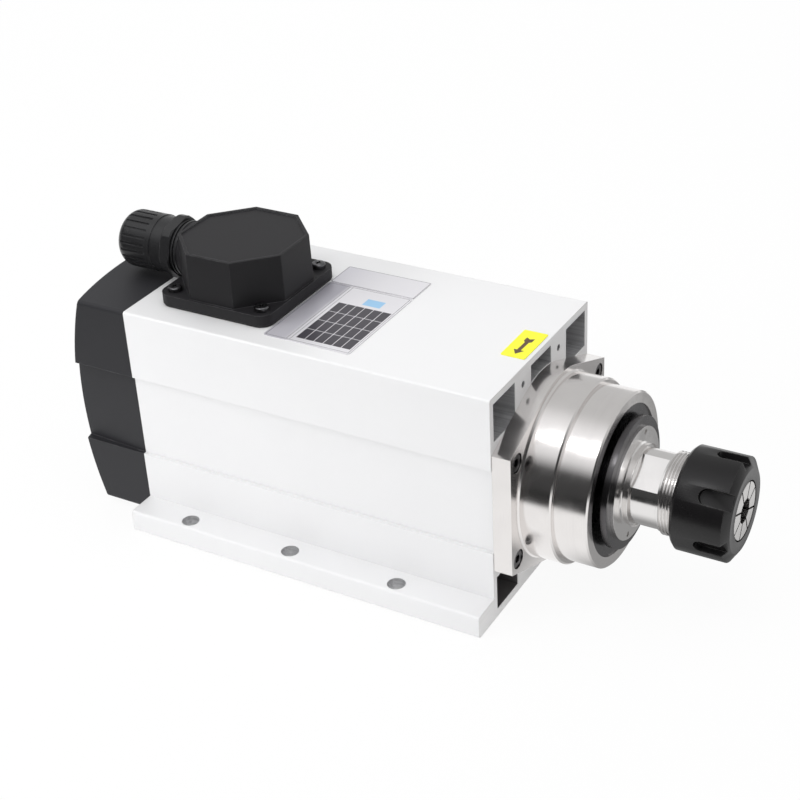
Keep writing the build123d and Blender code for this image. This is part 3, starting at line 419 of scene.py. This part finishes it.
bpy.ops.object.select_all(action="DESELECT")
bpy.ops.mesh.primitive_plane_add(size=thread_pitch)
ridge = bpy.context.object
bpy.ops.object.mode_set(mode="EDIT")
bpy.ops.mesh.delete(type="ONLY_FACE")
bpy.ops.object.mode_set(mode="OBJECT")
for vertex in ridge.data.vertices:
    outer = vertex.co.y > 0
    half = (ridge_top if outer else ridge_foot) / 2
    reach = thread_crest if outer else thread_core - ridge_sink
    vertex.co = (math.copysign(half, vertex.co.x), 0, reach)
screw = ridge.modifiers.new("helix", "SCREW")
screw.axis = "X"
screw.screw_offset = thread_pitch
screw.iterations = int((thread_end - thread_start) / thread_pitch) - 1
screw.steps = screw.render_steps = ridge_steps
screw.use_normal_calculate = True
bpy.ops.object.modifier_apply(modifier="helix")
bpy.ops.object.mode_set(mode="EDIT")
bpy.ops.mesh.select_all(action="SELECT")
bpy.ops.mesh.remove_doubles(threshold=join_distance)
bpy.ops.mesh.fill_holes(sides=4)
bpy.ops.mesh.normals_make_consistent(inside=False)
bpy.ops.object.mode_set(mode="OBJECT")
span = [vertex.co.x for vertex in ridge.data.vertices]
shift = (thread_start + thread_end) / 2 - (min(span) + max(span)) / 2
for vertex in ridge.data.vertices:
    vertex.co.x += shift
    inside = min(vertex.co.x - thread_start, thread_end - vertex.co.x)
    reach = math.hypot(vertex.co.y, vertex.co.z)
    limit = min(reach, thread_end_radius + inside)
    vertex.co.y *= limit / reach
    vertex.co.z = vertex.co.z * limit / reach + axis_height
turn_about_axis(ridge, thread_start_turn)
smooth(ridge)
alone(shaft)
ridge.select_set(True)
bpy.ops.object.join()
stand_for(shaft, shaft_steel, "polished_steel", "spindle_shaft")


# ---------------------------------------------------------------- bearings
# Hard chrome-steel rings and balls, ground and lapped, with cages of brown glass-filled plastic. Turned
# spacers set the front pair apart, a lock nut holds the inner rings, and a wavy spring loads the rear one.
bearing_bright = (0.72, 0.72, 0.73, 1)
bearing_dull = (0.58, 0.58, 0.60, 1)
cage_brown = (0.16, 0.10, 0.05, 1)
cage_light = (0.23, 0.15, 0.08, 1)
spring_straw = (0.40, 0.33, 0.24, 1)
spring_grey = (0.32, 0.32, 0.33, 1)

bearing_steel = turned_steel("ground_bearing_steel", bearing_bright, bearing_dull, roughness=0.12)
wear(bearing_steel, "front_bearing_outer_rings", "front_bearing_inner_rings", "front_bearing_balls")
wear(bearing_steel, "rear_bearing_outer_ring", "rear_bearing_inner_ring", "rear_bearing_balls")
wear(bearing_steel, "front_outer_spacer", "front_inner_spacer", "bearing_lock_nut")

cage_resin = Finish("cage_resin", ior=1.52)
fibres = cage_resin.grain(700.0, (0.15, 1, 1), detail=4.0)
cage_resin.drive(base_color=cage_resin.mix(fibres, cage_brown, cage_light), roughness=0.38 + 0.15 * fibres)
cage_resin.relief(fibres, depth=0.00003)
wear(cage_resin, "front_bearing_cages", "rear_bearing_cage")

spring_leaf = Finish("tempered_spring_leaf", metallic=1.0)
temper = spring_leaf.grain(50.0, detail=4.0)
spring_leaf.drive(
    base_color=spring_leaf.mix(temper, spring_grey, spring_straw),
    roughness=0.25 + 0.15 * temper,
)
spring_leaf.relief(spring_leaf.grain(2000.0), depth=0.000005)
wear(spring_leaf, "preload_spring")


# ---------------------------------------------------------------- front housing
# The nose is one steel turning with a square flange. It is ground and polished bright outside, with a
# lathe groove between its two steps, and four socket screws hold the flange to the body.
nose_bright = (0.93, 0.905, 0.89, 1)
nose_dull = (0.72, 0.695, 0.685, 1)
burnished = (0.20, 0.195, 0.20, 1)
burnished_dull = (0.09, 0.088, 0.09, 1)

nose_steel = turned_steel(
    "polished_nose_steel",
    nose_bright,
    nose_dull,
    roughness=0.11,
    line_scale=3800.0,
    line_depth=0.000006,
)
wear(nose_steel, "front_housing")


def screw_metal(name, bright, dull, roughness):
    """Plated or burnished screw steel, with the cloudy tarnish of a bulk bath."""
    metal = Finish(name, metallic=1.0)
    tarnish = metal.grain(380.0, detail=4.0)
    metal.drive(
        base_color=metal.mix(tarnish.ease(0.3, 0.7), dull, bright),
        roughness=roughness + 0.2 * tarnish,
    )
    metal.relief(metal.grain(2500.0), depth=0.000008, edge_radius=0.00015)
    return metal


socket_steel = screw_metal("burnished_socket_steel", burnished, burnished_dull, roughness=0.22)
wear(socket_steel, "front_housing_screws")


# ---------------------------------------------------------------- bearing cap and dust ring
# The cap that closes the front bearings and the dust ring that turns before it are blackened steel,
# turned after the bath, so their faces show dark grey with bright tool lines.
dark_bright = (0.16, 0.155, 0.16, 1)
dark_dull = (0.07, 0.068, 0.072, 1)

dark_steel = turned_steel(
    "dark_turned_steel",
    dark_bright,
    dark_dull,
    roughness=0.17,
    line_scale=3000.0,
    line_depth=0.000008,
)
wear(dark_steel, "front_bearing_cap", "dust_ring")


# ---------------------------------------------------------------- rear screws
# Black screws hold the rear bearing housing inside and the fan cover outside, and one holds the fan. Their
# zinc has worn through to the steel on the sharp edges.
black_zinc = (0.030, 0.030, 0.032, 1)
black_zinc_worn = (0.12, 0.12, 0.125, 1)

blackened = Finish("black_screw_steel", metallic=0.9)
scuffs = blackened.worn_edge(0.0004) * blackened.grain(900.0).ease(0.35, 0.65)
blackened.drive(
    base_color=blackened.mix(scuffs, black_zinc, black_zinc_worn),
    roughness=0.34 + 0.12 * blackened.grain(300.0),
)
blackened.relief(blackened.grain(2500.0), depth=0.000008, edge_radius=0.00015)
wear(blackened, "rear_housing_screws", "rear_cover_screws", "fan_screw")


# ---------------------------------------------------------------- fan and rear cover
# Both are moulded in black nylon with glass. The cover has a fine spark-eroded skin, and its edges have
# rubbed a little paler where hands and cartons touched them.
cover_black = (0.021, 0.021, 0.024, 1)
cover_black_pale = (0.029, 0.029, 0.032, 1)
cover_scuff = (0.11, 0.11, 0.115, 1)
fan_black = (0.018, 0.018, 0.020, 1)
fan_black_pale = (0.028, 0.028, 0.030, 1)


def moulded(name, deep, pale, scuff, roughness, skin_scale, skin_depth, edge=0.0008, gloss=1.5):
    """Moulded plastic with an eroded skin, slow changes of shade, and edges rubbed pale."""
    resin = Finish(name, ior=gloss)
    shade = resin.grain(22.0, detail=4.0)
    skin = resin.grain(skin_scale, detail=3.0)
    rubbed = resin.worn_edge(edge) * (0.35 + 0.65 * resin.grain(160.0).ease(0.4, 0.7))
    resin.drive(
        base_color=resin.mix(rubbed, resin.mix(shade, deep, pale), scuff),
        roughness=roughness + 0.10 * shade + 0.08 * skin - 0.10 * rubbed,
    )
    resin.relief(skin, skin_depth, edge)
    return resin


cover_resin = moulded(
    "cover_nylon",
    cover_black,
    cover_black_pale,
    cover_scuff,
    roughness=0.44,
    skin_scale=1900.0,
    skin_depth=0.00003,
    gloss=1.38,
)
wear(cover_resin, "rear_cover")
fan_resin = moulded(
    "fan_nylon",
    fan_black,
    fan_black_pale,
    cover_scuff,
    roughness=0.42,
    skin_scale=2400.0,
    skin_depth=0.00002,
)
wear(fan_resin, "cooling_fan")


# ---------------------------------------------------------------- junction box
# The lid and walls are one black moulding that four pan-head screws hold down over a rubber gasket.
# Inside stands a block of cream resin with four brass terminals.
box_black = (0.012, 0.0115, 0.013, 1)
box_black_pale = (0.018, 0.0175, 0.019, 1)
box_scuff = (0.09, 0.09, 0.095, 1)
gasket_black = (0.018, 0.018, 0.018, 1)
gasket_dusty = (0.040, 0.040, 0.040, 1)
cream = (0.62, 0.58, 0.48, 1)
cream_deep = (0.54, 0.50, 0.41, 1)
cream_edge = (0.70, 0.67, 0.58, 1)
screw_zinc = (0.24, 0.24, 0.25, 1)
screw_zinc_dull = (0.12, 0.12, 0.125, 1)
brass = (0.70, 0.50, 0.20, 1)
brass_dull = (0.42, 0.29, 0.11, 1)
box_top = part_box("junction_box")[1].z
rim_width = 0.0016
rim_height = 0.0006
top_face_depth = 0.0001
top_face_tilt = 0.99

box_resin = moulded(
    "box_resin",
    box_black,
    box_black_pale,
    box_scuff,
    roughness=0.42,
    skin_scale=1500.0,
    skin_depth=0.00003,
    gloss=1.36,
)
box = merged_copy("box_with_rim", "junction_box")
bpy.ops.object.mode_set(mode="EDIT")
bpy.ops.mesh.select_all(action="DESELECT")
bpy.ops.object.mode_set(mode="OBJECT")
for face in box.data.polygons:
    face.select = face.center.z > box_top - top_face_depth and face.normal.z > top_face_tilt
bpy.ops.object.mode_set(mode="EDIT")
bpy.ops.mesh.inset(thickness=rim_width, use_boundary=True)
bpy.ops.mesh.extrude_region_move(TRANSFORM_OT_translate={"value": (0, 0, -rim_height)})
bpy.ops.object.mode_set(mode="OBJECT")
smooth(box)
stand_for(box, box_resin, "box_plastic", "junction_box")

plated = screw_metal("zinc_plated_steel", screw_zinc, screw_zinc_dull, roughness=0.24)
wear(plated, "junction_box_screws")
rubber = moulded(
    "gasket_rubber",
    gasket_black,
    gasket_dusty,
    gasket_dusty,
    roughness=0.68,
    skin_scale=1200.0,
    skin_depth=0.00003,
)
wear(rubber, "junction_box_gasket", "gland_seal")
block_resin = moulded(
    "terminal_resin",
    cream_deep,
    cream,
    cream_edge,
    roughness=0.45,
    skin_scale=2200.0,
    skin_depth=0.00001,
)
wear(block_resin, "terminal_block")
terminal_brass = screw_metal("terminal_brass", brass, brass_dull, roughness=0.22)
wear(terminal_brass, "terminal_screws")


# ---------------------------------------------------------------- cable gland
# A hexagon body screwed into the box, a round nut that holds it from inside, and a ribbed cap that squeezes
# the seal. All are black nylon from polished moulds, glossier than the box.
gland_black = (0.010, 0.010, 0.011, 1)
gland_black_pale = (0.018, 0.018, 0.019, 1)
gland_scuff = (0.06, 0.06, 0.065, 1)

gland_resin = moulded(
    "gland_nylon",
    gland_black,
    gland_black_pale,
    gland_scuff,
    roughness=0.20,
    skin_scale=900.0,
    skin_depth=0.00001,
    edge=0.0005,
)
wear(gland_resin, "gland_body", "gland_locknut", "gland_cap")


# ---------------------------------------------------------------- plates
# The rating plate and the narrow plate beside it are silver foil printed dark grey, and the label by the
# nose is yellow film with a plain arrow. All three are cut with round corners and stuck to the top face.
foil_pale = (0.78, 0.77, 0.80, 1)
foil_light = (0.60, 0.59, 0.64, 1)
foil_dark = (0.40, 0.39, 0.44, 1)
print_grey = (0.045, 0.042, 0.052, 1)
line_grey = (0.07, 0.065, 0.085, 1)
field_blue = (0.34, 0.60, 0.86, 1)
grid_box = (-0.0014, 0.0288, -0.0390, 0.0006)
grid_step = (0.00503, 0.00990)
grid_line = 0.00035
rule_width = 0.00022
header_end = -0.0050
header_blend = 0.002
rule_places = (-0.0048, -0.0030)
plate_box = (-0.0173, 0.0307, -0.0427, 0.0183)
frame_inset = 0.0009
blue_box = (0.0105, 0.0205, 0.0030, 0.0095)


def inside(finish, box):
    """1 within a rectangle of the top face, given as x, x, y, y."""
    x0, x1, y0, y1 = box
    across = (finish.x > x0) * (finish.x < x1)
    return across * (finish.y > y0) * (finish.y < y1)


def shrunk(box, width):
    """The rectangle that lies that far inside another."""
    x0, x1, y0, y1 = box
    return (x0 + width, x1 - width, y0 + width, y1 - width)


def outline(finish, box, width):
    """A line of that width along the inside of a rectangle's edge."""
    return inside(finish, box) - inside(finish, shrunk(box, width))


rating_print = Finish("rating_plate_print", ior=1.5, coat_roughness=0.15)
cells = inside(rating_print, grid_box)
columns = ((rating_print.x - grid_box[0]) % grid_step[0]) > grid_line
rows = ((rating_print.y - grid_box[2]) % grid_step[1]) > grid_line
ink = cells * columns * rows
border = shrunk(plate_box, frame_inset)
rules = outline(rating_print, border, rule_width)
for rule in rule_places:
    rules = rules + inside(rating_print, (rule, rule + rule_width, border[2], border[3]))
sheen = rating_print.y.ease(plate_box[2], plate_box[3])
foil = rating_print.mix(sheen, foil_light, foil_dark)
past_header = rating_print.x.ease(header_end - header_blend, header_end + header_blend)
foil = rating_print.mix(past_header, foil, foil_pale)
brushing = rating_print.grain(2500.0, (0.02, 1, 1))
printed = rating_print.mix(rules > 0.5, foil, line_grey)
printed = rating_print.mix(inside(rating_print, blue_box), printed, field_blue)
printed = rating_print.mix(ink, printed, print_grey)
rating_print.drive(
    base_color=printed,
    metallic=0.25 * (1.0 - (ink + rules > 0.5)),
    roughness=0.34 + 0.08 * brushing,
    coat_weight=0.2,
)
rating_print.relief(brushing, depth=0.000004)
wear(rating_print, "rating_plate")

info_box = (-0.0173, 0.0307, 0.0189, 0.0375)
info_sheen = (-0.0273, 0.0127)
info_print = Finish("info_plate_print", ior=1.5, coat_roughness=0.15)
info_rules = outline(info_print, shrunk(info_box, rule_width), rule_width)
info_brush = info_print.grain(2500.0, (0.02, 1, 1))
info_foil = info_print.mix(info_print.x.ease(*info_sheen), foil_light, foil_pale)
info_print.drive(
    base_color=info_print.mix(info_rules, info_foil, line_grey),
    metallic=0.2,
    roughness=0.34 + 0.08 * info_brush,
    coat_weight=0.2,
)
info_print.relief(info_brush, depth=0.000004)
wear(info_print, "info_plate")

label_yellow = (0.95, 0.93, 0.03, 1)
arrow_brown = (0.10, 0.062, 0.035, 1)
arrow_tail = (0.1007, 0.0062)
arrow_tip = (0.1003, -0.0100)
arrow_half_shaft = 0.0010
arrow_head_length = 0.0040
arrow_head_slope = 0.68
fletch_start = 0.0044
fletch_slope = 0.9
fletch_half = 0.0021
notch_depth = 0.0010
notch_slope = 0.55

label_print = Finish("yellow_label_print", ior=1.5, roughness=0.35)
run = (arrow_tip[0] - arrow_tail[0], arrow_tip[1] - arrow_tail[1])
arrow_length = math.hypot(*run)
ux, uy = run[0] / arrow_length, run[1] / arrow_length
from_tail = (label_print.x - arrow_tail[0], label_print.y - arrow_tail[1])
along = from_tail[0] * ux + from_tail[1] * uy
across = abs(from_tail[0] * uy - from_tail[1] * ux)
shank_end = arrow_length - arrow_head_length / 2
shank = (along > notch_depth) * (along < shank_end) * (across < arrow_half_shaft)
from_tip = arrow_length - along
head = (from_tip > 0.0) * (from_tip < arrow_head_length) * (across < from_tip * arrow_head_slope)
fletch_side = (fletch_start - along) * fletch_slope + arrow_half_shaft
fletch_end = notch_depth - across * notch_slope
fletch = (along < fletch_start) * (across < fletch_side) * (across < fletch_half) * (along > fletch_end)
arrow = (shank + head + fletch) > 0.5
film = label_print.grain(30.0)
label_print.drive(
    base_color=label_print.mix(arrow, label_yellow, arrow_brown),
    roughness=0.30 + 0.10 * film,
)
label_print.relief(label_print.grain(1500.0), depth=0.000004)
wear(label_print, "rotation_label")


# ---------------------------------------------------------------- collet
# The collet is hardened spring steel, turned and ground, then slit from both ends so that it can close on
# the tool. It is left bright, with cutting oil dark in its slits.
collet_bright = (0.78, 0.77, 0.76, 1)
collet_dull = (0.42, 0.41, 0.40, 1)
collet_turn = 22.5

collet_steel = turned_steel("bright_collet_steel", collet_bright, collet_dull, roughness=0.20)
collet = merged_copy("slit_collet", "collet")
turn_about_axis(collet, collet_turn)
smooth(collet)
stand_for(collet, collet_steel, "collet_steel", "collet")


# ---------------------------------------------------------------- nut and extraction ring
# The nut is one blackened steel turning with six wrench slots milled in from its front, and its corners
# are broken. The ring that pulls the collet out sits in a groove behind its mouth.
nut_rear = 0.1828
nut_face = 0.2104
nut_radius = 0.025
# Each row holds a place along the axis and the reach from it, from the rear bore round the outside to the
# mouth and back through the bore.
nut_profile = (
    (nut_rear, 0.0209),
    (nut_rear, 0.0234),
    (0.1844, nut_radius),
    (0.2076, nut_radius),
    (nut_face, 0.0202),
    (nut_face, 0.0145),
    (0.2067, 0.0163),
    (0.2067, 0.01822),
    (0.2022, 0.01822),
    (0.2022, 0.0203),
    (0.1834, 0.0203),
)
nut_sides = 120
nut_join = 0.000002
nut_corner = 0.00022
nut_corner_segments = 2
nut_corner_angle = 25
slot_start = 0.0118
slot_width = 0.0076
slot_floor = 0.0214
slot_turn = 50.5
slot_count = 6
slot_end_sides = 48
cutter_past = 0.002
oxide_deep = (0.005, 0.0045, 0.005, 1)
oxide_pale = (0.010, 0.0095, 0.010, 1)
oxide_rubbed = (0.16, 0.155, 0.15, 1)

bpy.ops.object.select_all(action="DESELECT")
bpy.ops.mesh.primitive_circle_add(vertices=len(nut_profile), radius=nut_radius)
nut = bpy.context.object
nut.name = "wrench_slot_nut"
for vertex, (x, reach) in zip(nut.data.vertices, nut_profile):
    vertex.co = (x, 0, axis_height + reach)
bpy.ops.object.mode_set(mode="EDIT")
bpy.ops.mesh.select_all(action="SELECT")
bpy.ops.mesh.spin(steps=nut_sides, angle=math.tau, center=(0, 0, axis_height), axis=(1, 0, 0))
bpy.ops.mesh.select_all(action="SELECT")
bpy.ops.mesh.remove_doubles(threshold=nut_join)
bpy.ops.mesh.normals_make_consistent(inside=False)
bpy.ops.object.mode_set(mode="OBJECT")

bpy.ops.object.select_all(action="DESELECT")
bpy.ops.mesh.primitive_circle_add(vertices=slot_end_sides, radius=slot_width / 2, fill_type="NGON")
cutter = bpy.context.object
for vertex in cutter.data.vertices:
    if vertex.co.x > 0:
        vertex.co.x = nut_face - nut_rear
    vertex.co.x += nut_rear + slot_start + slot_width / 2
    vertex.co.z = axis_height + slot_floor
cutter_height = nut_radius - slot_floor + cutter_past
bpy.ops.object.mode_set(mode="EDIT")
bpy.ops.mesh.select_all(action="SELECT")
bpy.ops.mesh.extrude_region_move(TRANSFORM_OT_translate={"value": (0, 0, cutter_height)})
bpy.ops.mesh.select_all(action="SELECT")
bpy.ops.mesh.normals_make_consistent(inside=False)
bpy.ops.object.mode_set(mode="OBJECT")

cutters = []
for index in range(slot_count):
    turned = bpy.data.objects.new("slot_cutter", cutter.data.copy())
    bpy.context.scene.collection.objects.link(turned)
    turn_about_axis(turned, slot_turn + index * 360.0 / slot_count)
    cutters.append(turned)
bpy.data.objects.remove(cutter)
alone(cutters[0])
for turned in cutters:
    turned.select_set(True)
bpy.ops.object.join()
slots = bpy.context.object
alone(nut)
milling = nut.modifiers.new("slots", "BOOLEAN")
milling.operation = "DIFFERENCE"
milling.solver = "EXACT"
milling.object = slots
bpy.ops.object.modifier_apply(modifier="slots")
bpy.data.objects.remove(slots)
broken = nut.modifiers.new("broken_corners", "BEVEL")
broken.width = nut_corner
broken.segments = nut_corner_segments
broken.limit_method = "ANGLE"
broken.angle_limit = math.radians(nut_corner_angle)
bpy.ops.object.modifier_apply(modifier="broken_corners")
smooth(nut, 35)

oxide = Finish("black_oxide", ior=1.42)
oxide_clouds = oxide.grain(40.0, detail=4.0)
oxide_skin = oxide.grain(2600.0, detail=3.0)
rubbed = oxide.worn_edge(0.0005) * oxide.grain(500.0).ease(0.30, 0.60)
oxide.drive(
    base_color=oxide.mix(0.6 * rubbed, oxide.mix(oxide_clouds, oxide_deep, oxide_pale), oxide_rubbed),
    roughness=0.22 + 0.08 * oxide_clouds + 0.06 * oxide_skin,
)
oxide.relief(oxide_skin, depth=0.000008, edge_radius=0.0004)
stand_for(nut, oxide, "black_oxide", "collet_nut")
wear(oxide, "extraction_ring")


# ---------------------------------------------------------------- studio
# A wide white floor and five soft panels, of which polished metal mirrors only the small one. The camera
# sees plain white beyond the floor. In the floor, metal sees a white table near the spindle, with a grey
# patch of painted shadow before the nose, and dark beyond; above it a sky that goes from dark at the horizon
# to white.
floor_size = 6.0
floor_drop = 0.0002
floor_white = (0.90, 0.90, 0.90, 1)
glow_white = (1, 1, 1, 1)
glow_dark = (0.03, 0.03, 0.03, 1)
camera_glow = 0.93
table_edge = (-0.26, -0.19)
# Where the painted shadow lies in the floor's glow before the nose, and how dark it is.
floor_shadow_start = (0.115, 0.145)
floor_shadow_end = (0.225, 0.24)
floor_shadow_side = (-0.06, -0.01)
floor_shadow_depth = 0.68
# Each row holds a panel's name, place, aim, size, watts, and whether polished metal mirrors it.
panels = (
    ("overhead_panel", (0.0, -0.1, 1.6), (0, 0, 0.05), 1.6, 14.0, False),
    ("highlight_panel", (-0.236, -0.784, 1.518), (0.19, 0, 0.07), 0.42, 2.2, True),
    ("near_left_panel", (-1.2, -1.3, 0.7), (-0.05, 0, 0.06), 1.0, 19.0, False),
    ("far_side_panel", (-0.9, 1.5, 0.8), (0, 0, 0.06), 1.2, 10.0, False),
    ("front_panel", (1.7, -0.15, 0.7), (0.05, 0, 0.06), 1.0, 5.0, False),
)
sky_white = (1, 1, 1, 1)
room_grey = (0.32, 0.32, 0.32, 1)
horizon_levels = ((0.0, 0.05), (0.40, 0.06), (0.62, 0.80), (0.8, 1.0), (1.0, 1.0))
horizon_blue = 1.01
far_side_range = (-0.25, 0.35)
far_side_grey = (0.6, 0.6, 0.6, 1)

bpy.ops.object.select_all(action="DESELECT")
bpy.ops.mesh.primitive_plane_add(size=floor_size, location=(0, 0, -floor_drop))
floor = bpy.context.object
floor.name = "studio_floor"
floor_finish = Finish("studio_floor_white", base_color=floor_white, roughness=0.8)
seen = floor_finish.node("LightPath", {}, {}, "Is Camera Ray")
mirrored = floor_finish.node("LightPath", {}, {}, "Is Glossy Ray")
through = floor_finish.node("LightPath", {}, {}, "Is Transmission Ray")
# Painted shadow: a grey patch in the floor's glow before the nose, seen only in reflections.
painted_floor_shadow = floor_finish.x.ease(*floor_shadow_start) * (1.0 - floor_finish.x.ease(*floor_shadow_end))
painted_floor_shadow = painted_floor_shadow * floor_finish.y.ease(*floor_shadow_side)
table = floor_finish.y.ease(*table_edge) * (1.0 - floor_shadow_depth * painted_floor_shadow)
shade = floor_finish.mix(mirrored * (1.0 - table), glow_white, glow_dark)
glow = floor_finish.node("Emission", {}, {"Color": shade, "Strength": 1.0})
surface = Signal(floor_finish, floor_finish.shader.outputs[0])
glowing = seen * camera_glow + mirrored + through
lit = floor_finish.node("MixShader", {}, {0: glowing, 1: surface, 2: glow})
floor_finish.links.new(lit.socket, floor_finish.nodes["Material Output"].inputs["Surface"])
floor.data.materials.append(floor_finish.material)

for name, spot, aim, size, watts, in_mirrors in panels:
    lamp = bpy.data.lights.new(name, "AREA")
    lamp.shape = "SQUARE"
    lamp.size = size
    lamp.energy = watts
    holder = bpy.data.objects.new(name, lamp)
    holder.visible_glossy = in_mirrors
    holder.location = spot
    holder.rotation_euler = (Vector(aim) - Vector(spot)).to_track_quat("-Z", "Y").to_euler()
    bpy.context.scene.collection.objects.link(holder)

world = bpy.data.worlds.new("white_room")
world.use_nodes = True
sky = Shading(world.node_tree)
direction = sky.node("TexCoord", {}, {}, "Generated")
up = sky.node("SeparateXYZ", {}, {0: direction}, "Z")
to_far_side = sky.node("SeparateXYZ", {}, {0: direction}, "Y")
horizon_stops = [(place, (level, level, level * horizon_blue, 1)) for place, level in horizon_levels]
horizon = sky.node("ValToRGB", {"stops": horizon_stops}, {0: up})
mirrored_sky = sky.mix(to_far_side.ease(*far_side_range), horizon, far_side_grey)
to_metal = sky.node("LightPath", {}, {}, "Is Glossy Ray")
to_camera = sky.node("LightPath", {}, {}, "Is Camera Ray")
sky_seen = sky.mix(to_camera, sky.mix(to_metal, room_grey, mirrored_sky), sky_white)
background = sky.nodes["Background"]
sky.links.new(sky_seen.socket, background.inputs["Color"])
background.inputs["Strength"].default_value = 1.0
bpy.context.scene.world = world

camera_place = (0.39381, -0.59619, 0.48631)
camera_turn = (59.384, 2.7857, 29.666)
camera_lens = 73.294
camera_sensor = 36.0
camera_data = bpy.data.cameras.new("camera")
camera_data.lens = camera_lens
camera_data.sensor_width = camera_sensor
camera = bpy.data.objects.new("camera", camera_data)
camera.location = camera_place
camera.rotation_euler = [math.radians(turn) for turn in camera_turn]
bpy.context.scene.collection.objects.link(camera)
bpy.context.scene.camera = camera
bpy.context.scene.view_settings.view_transform = "Standard"
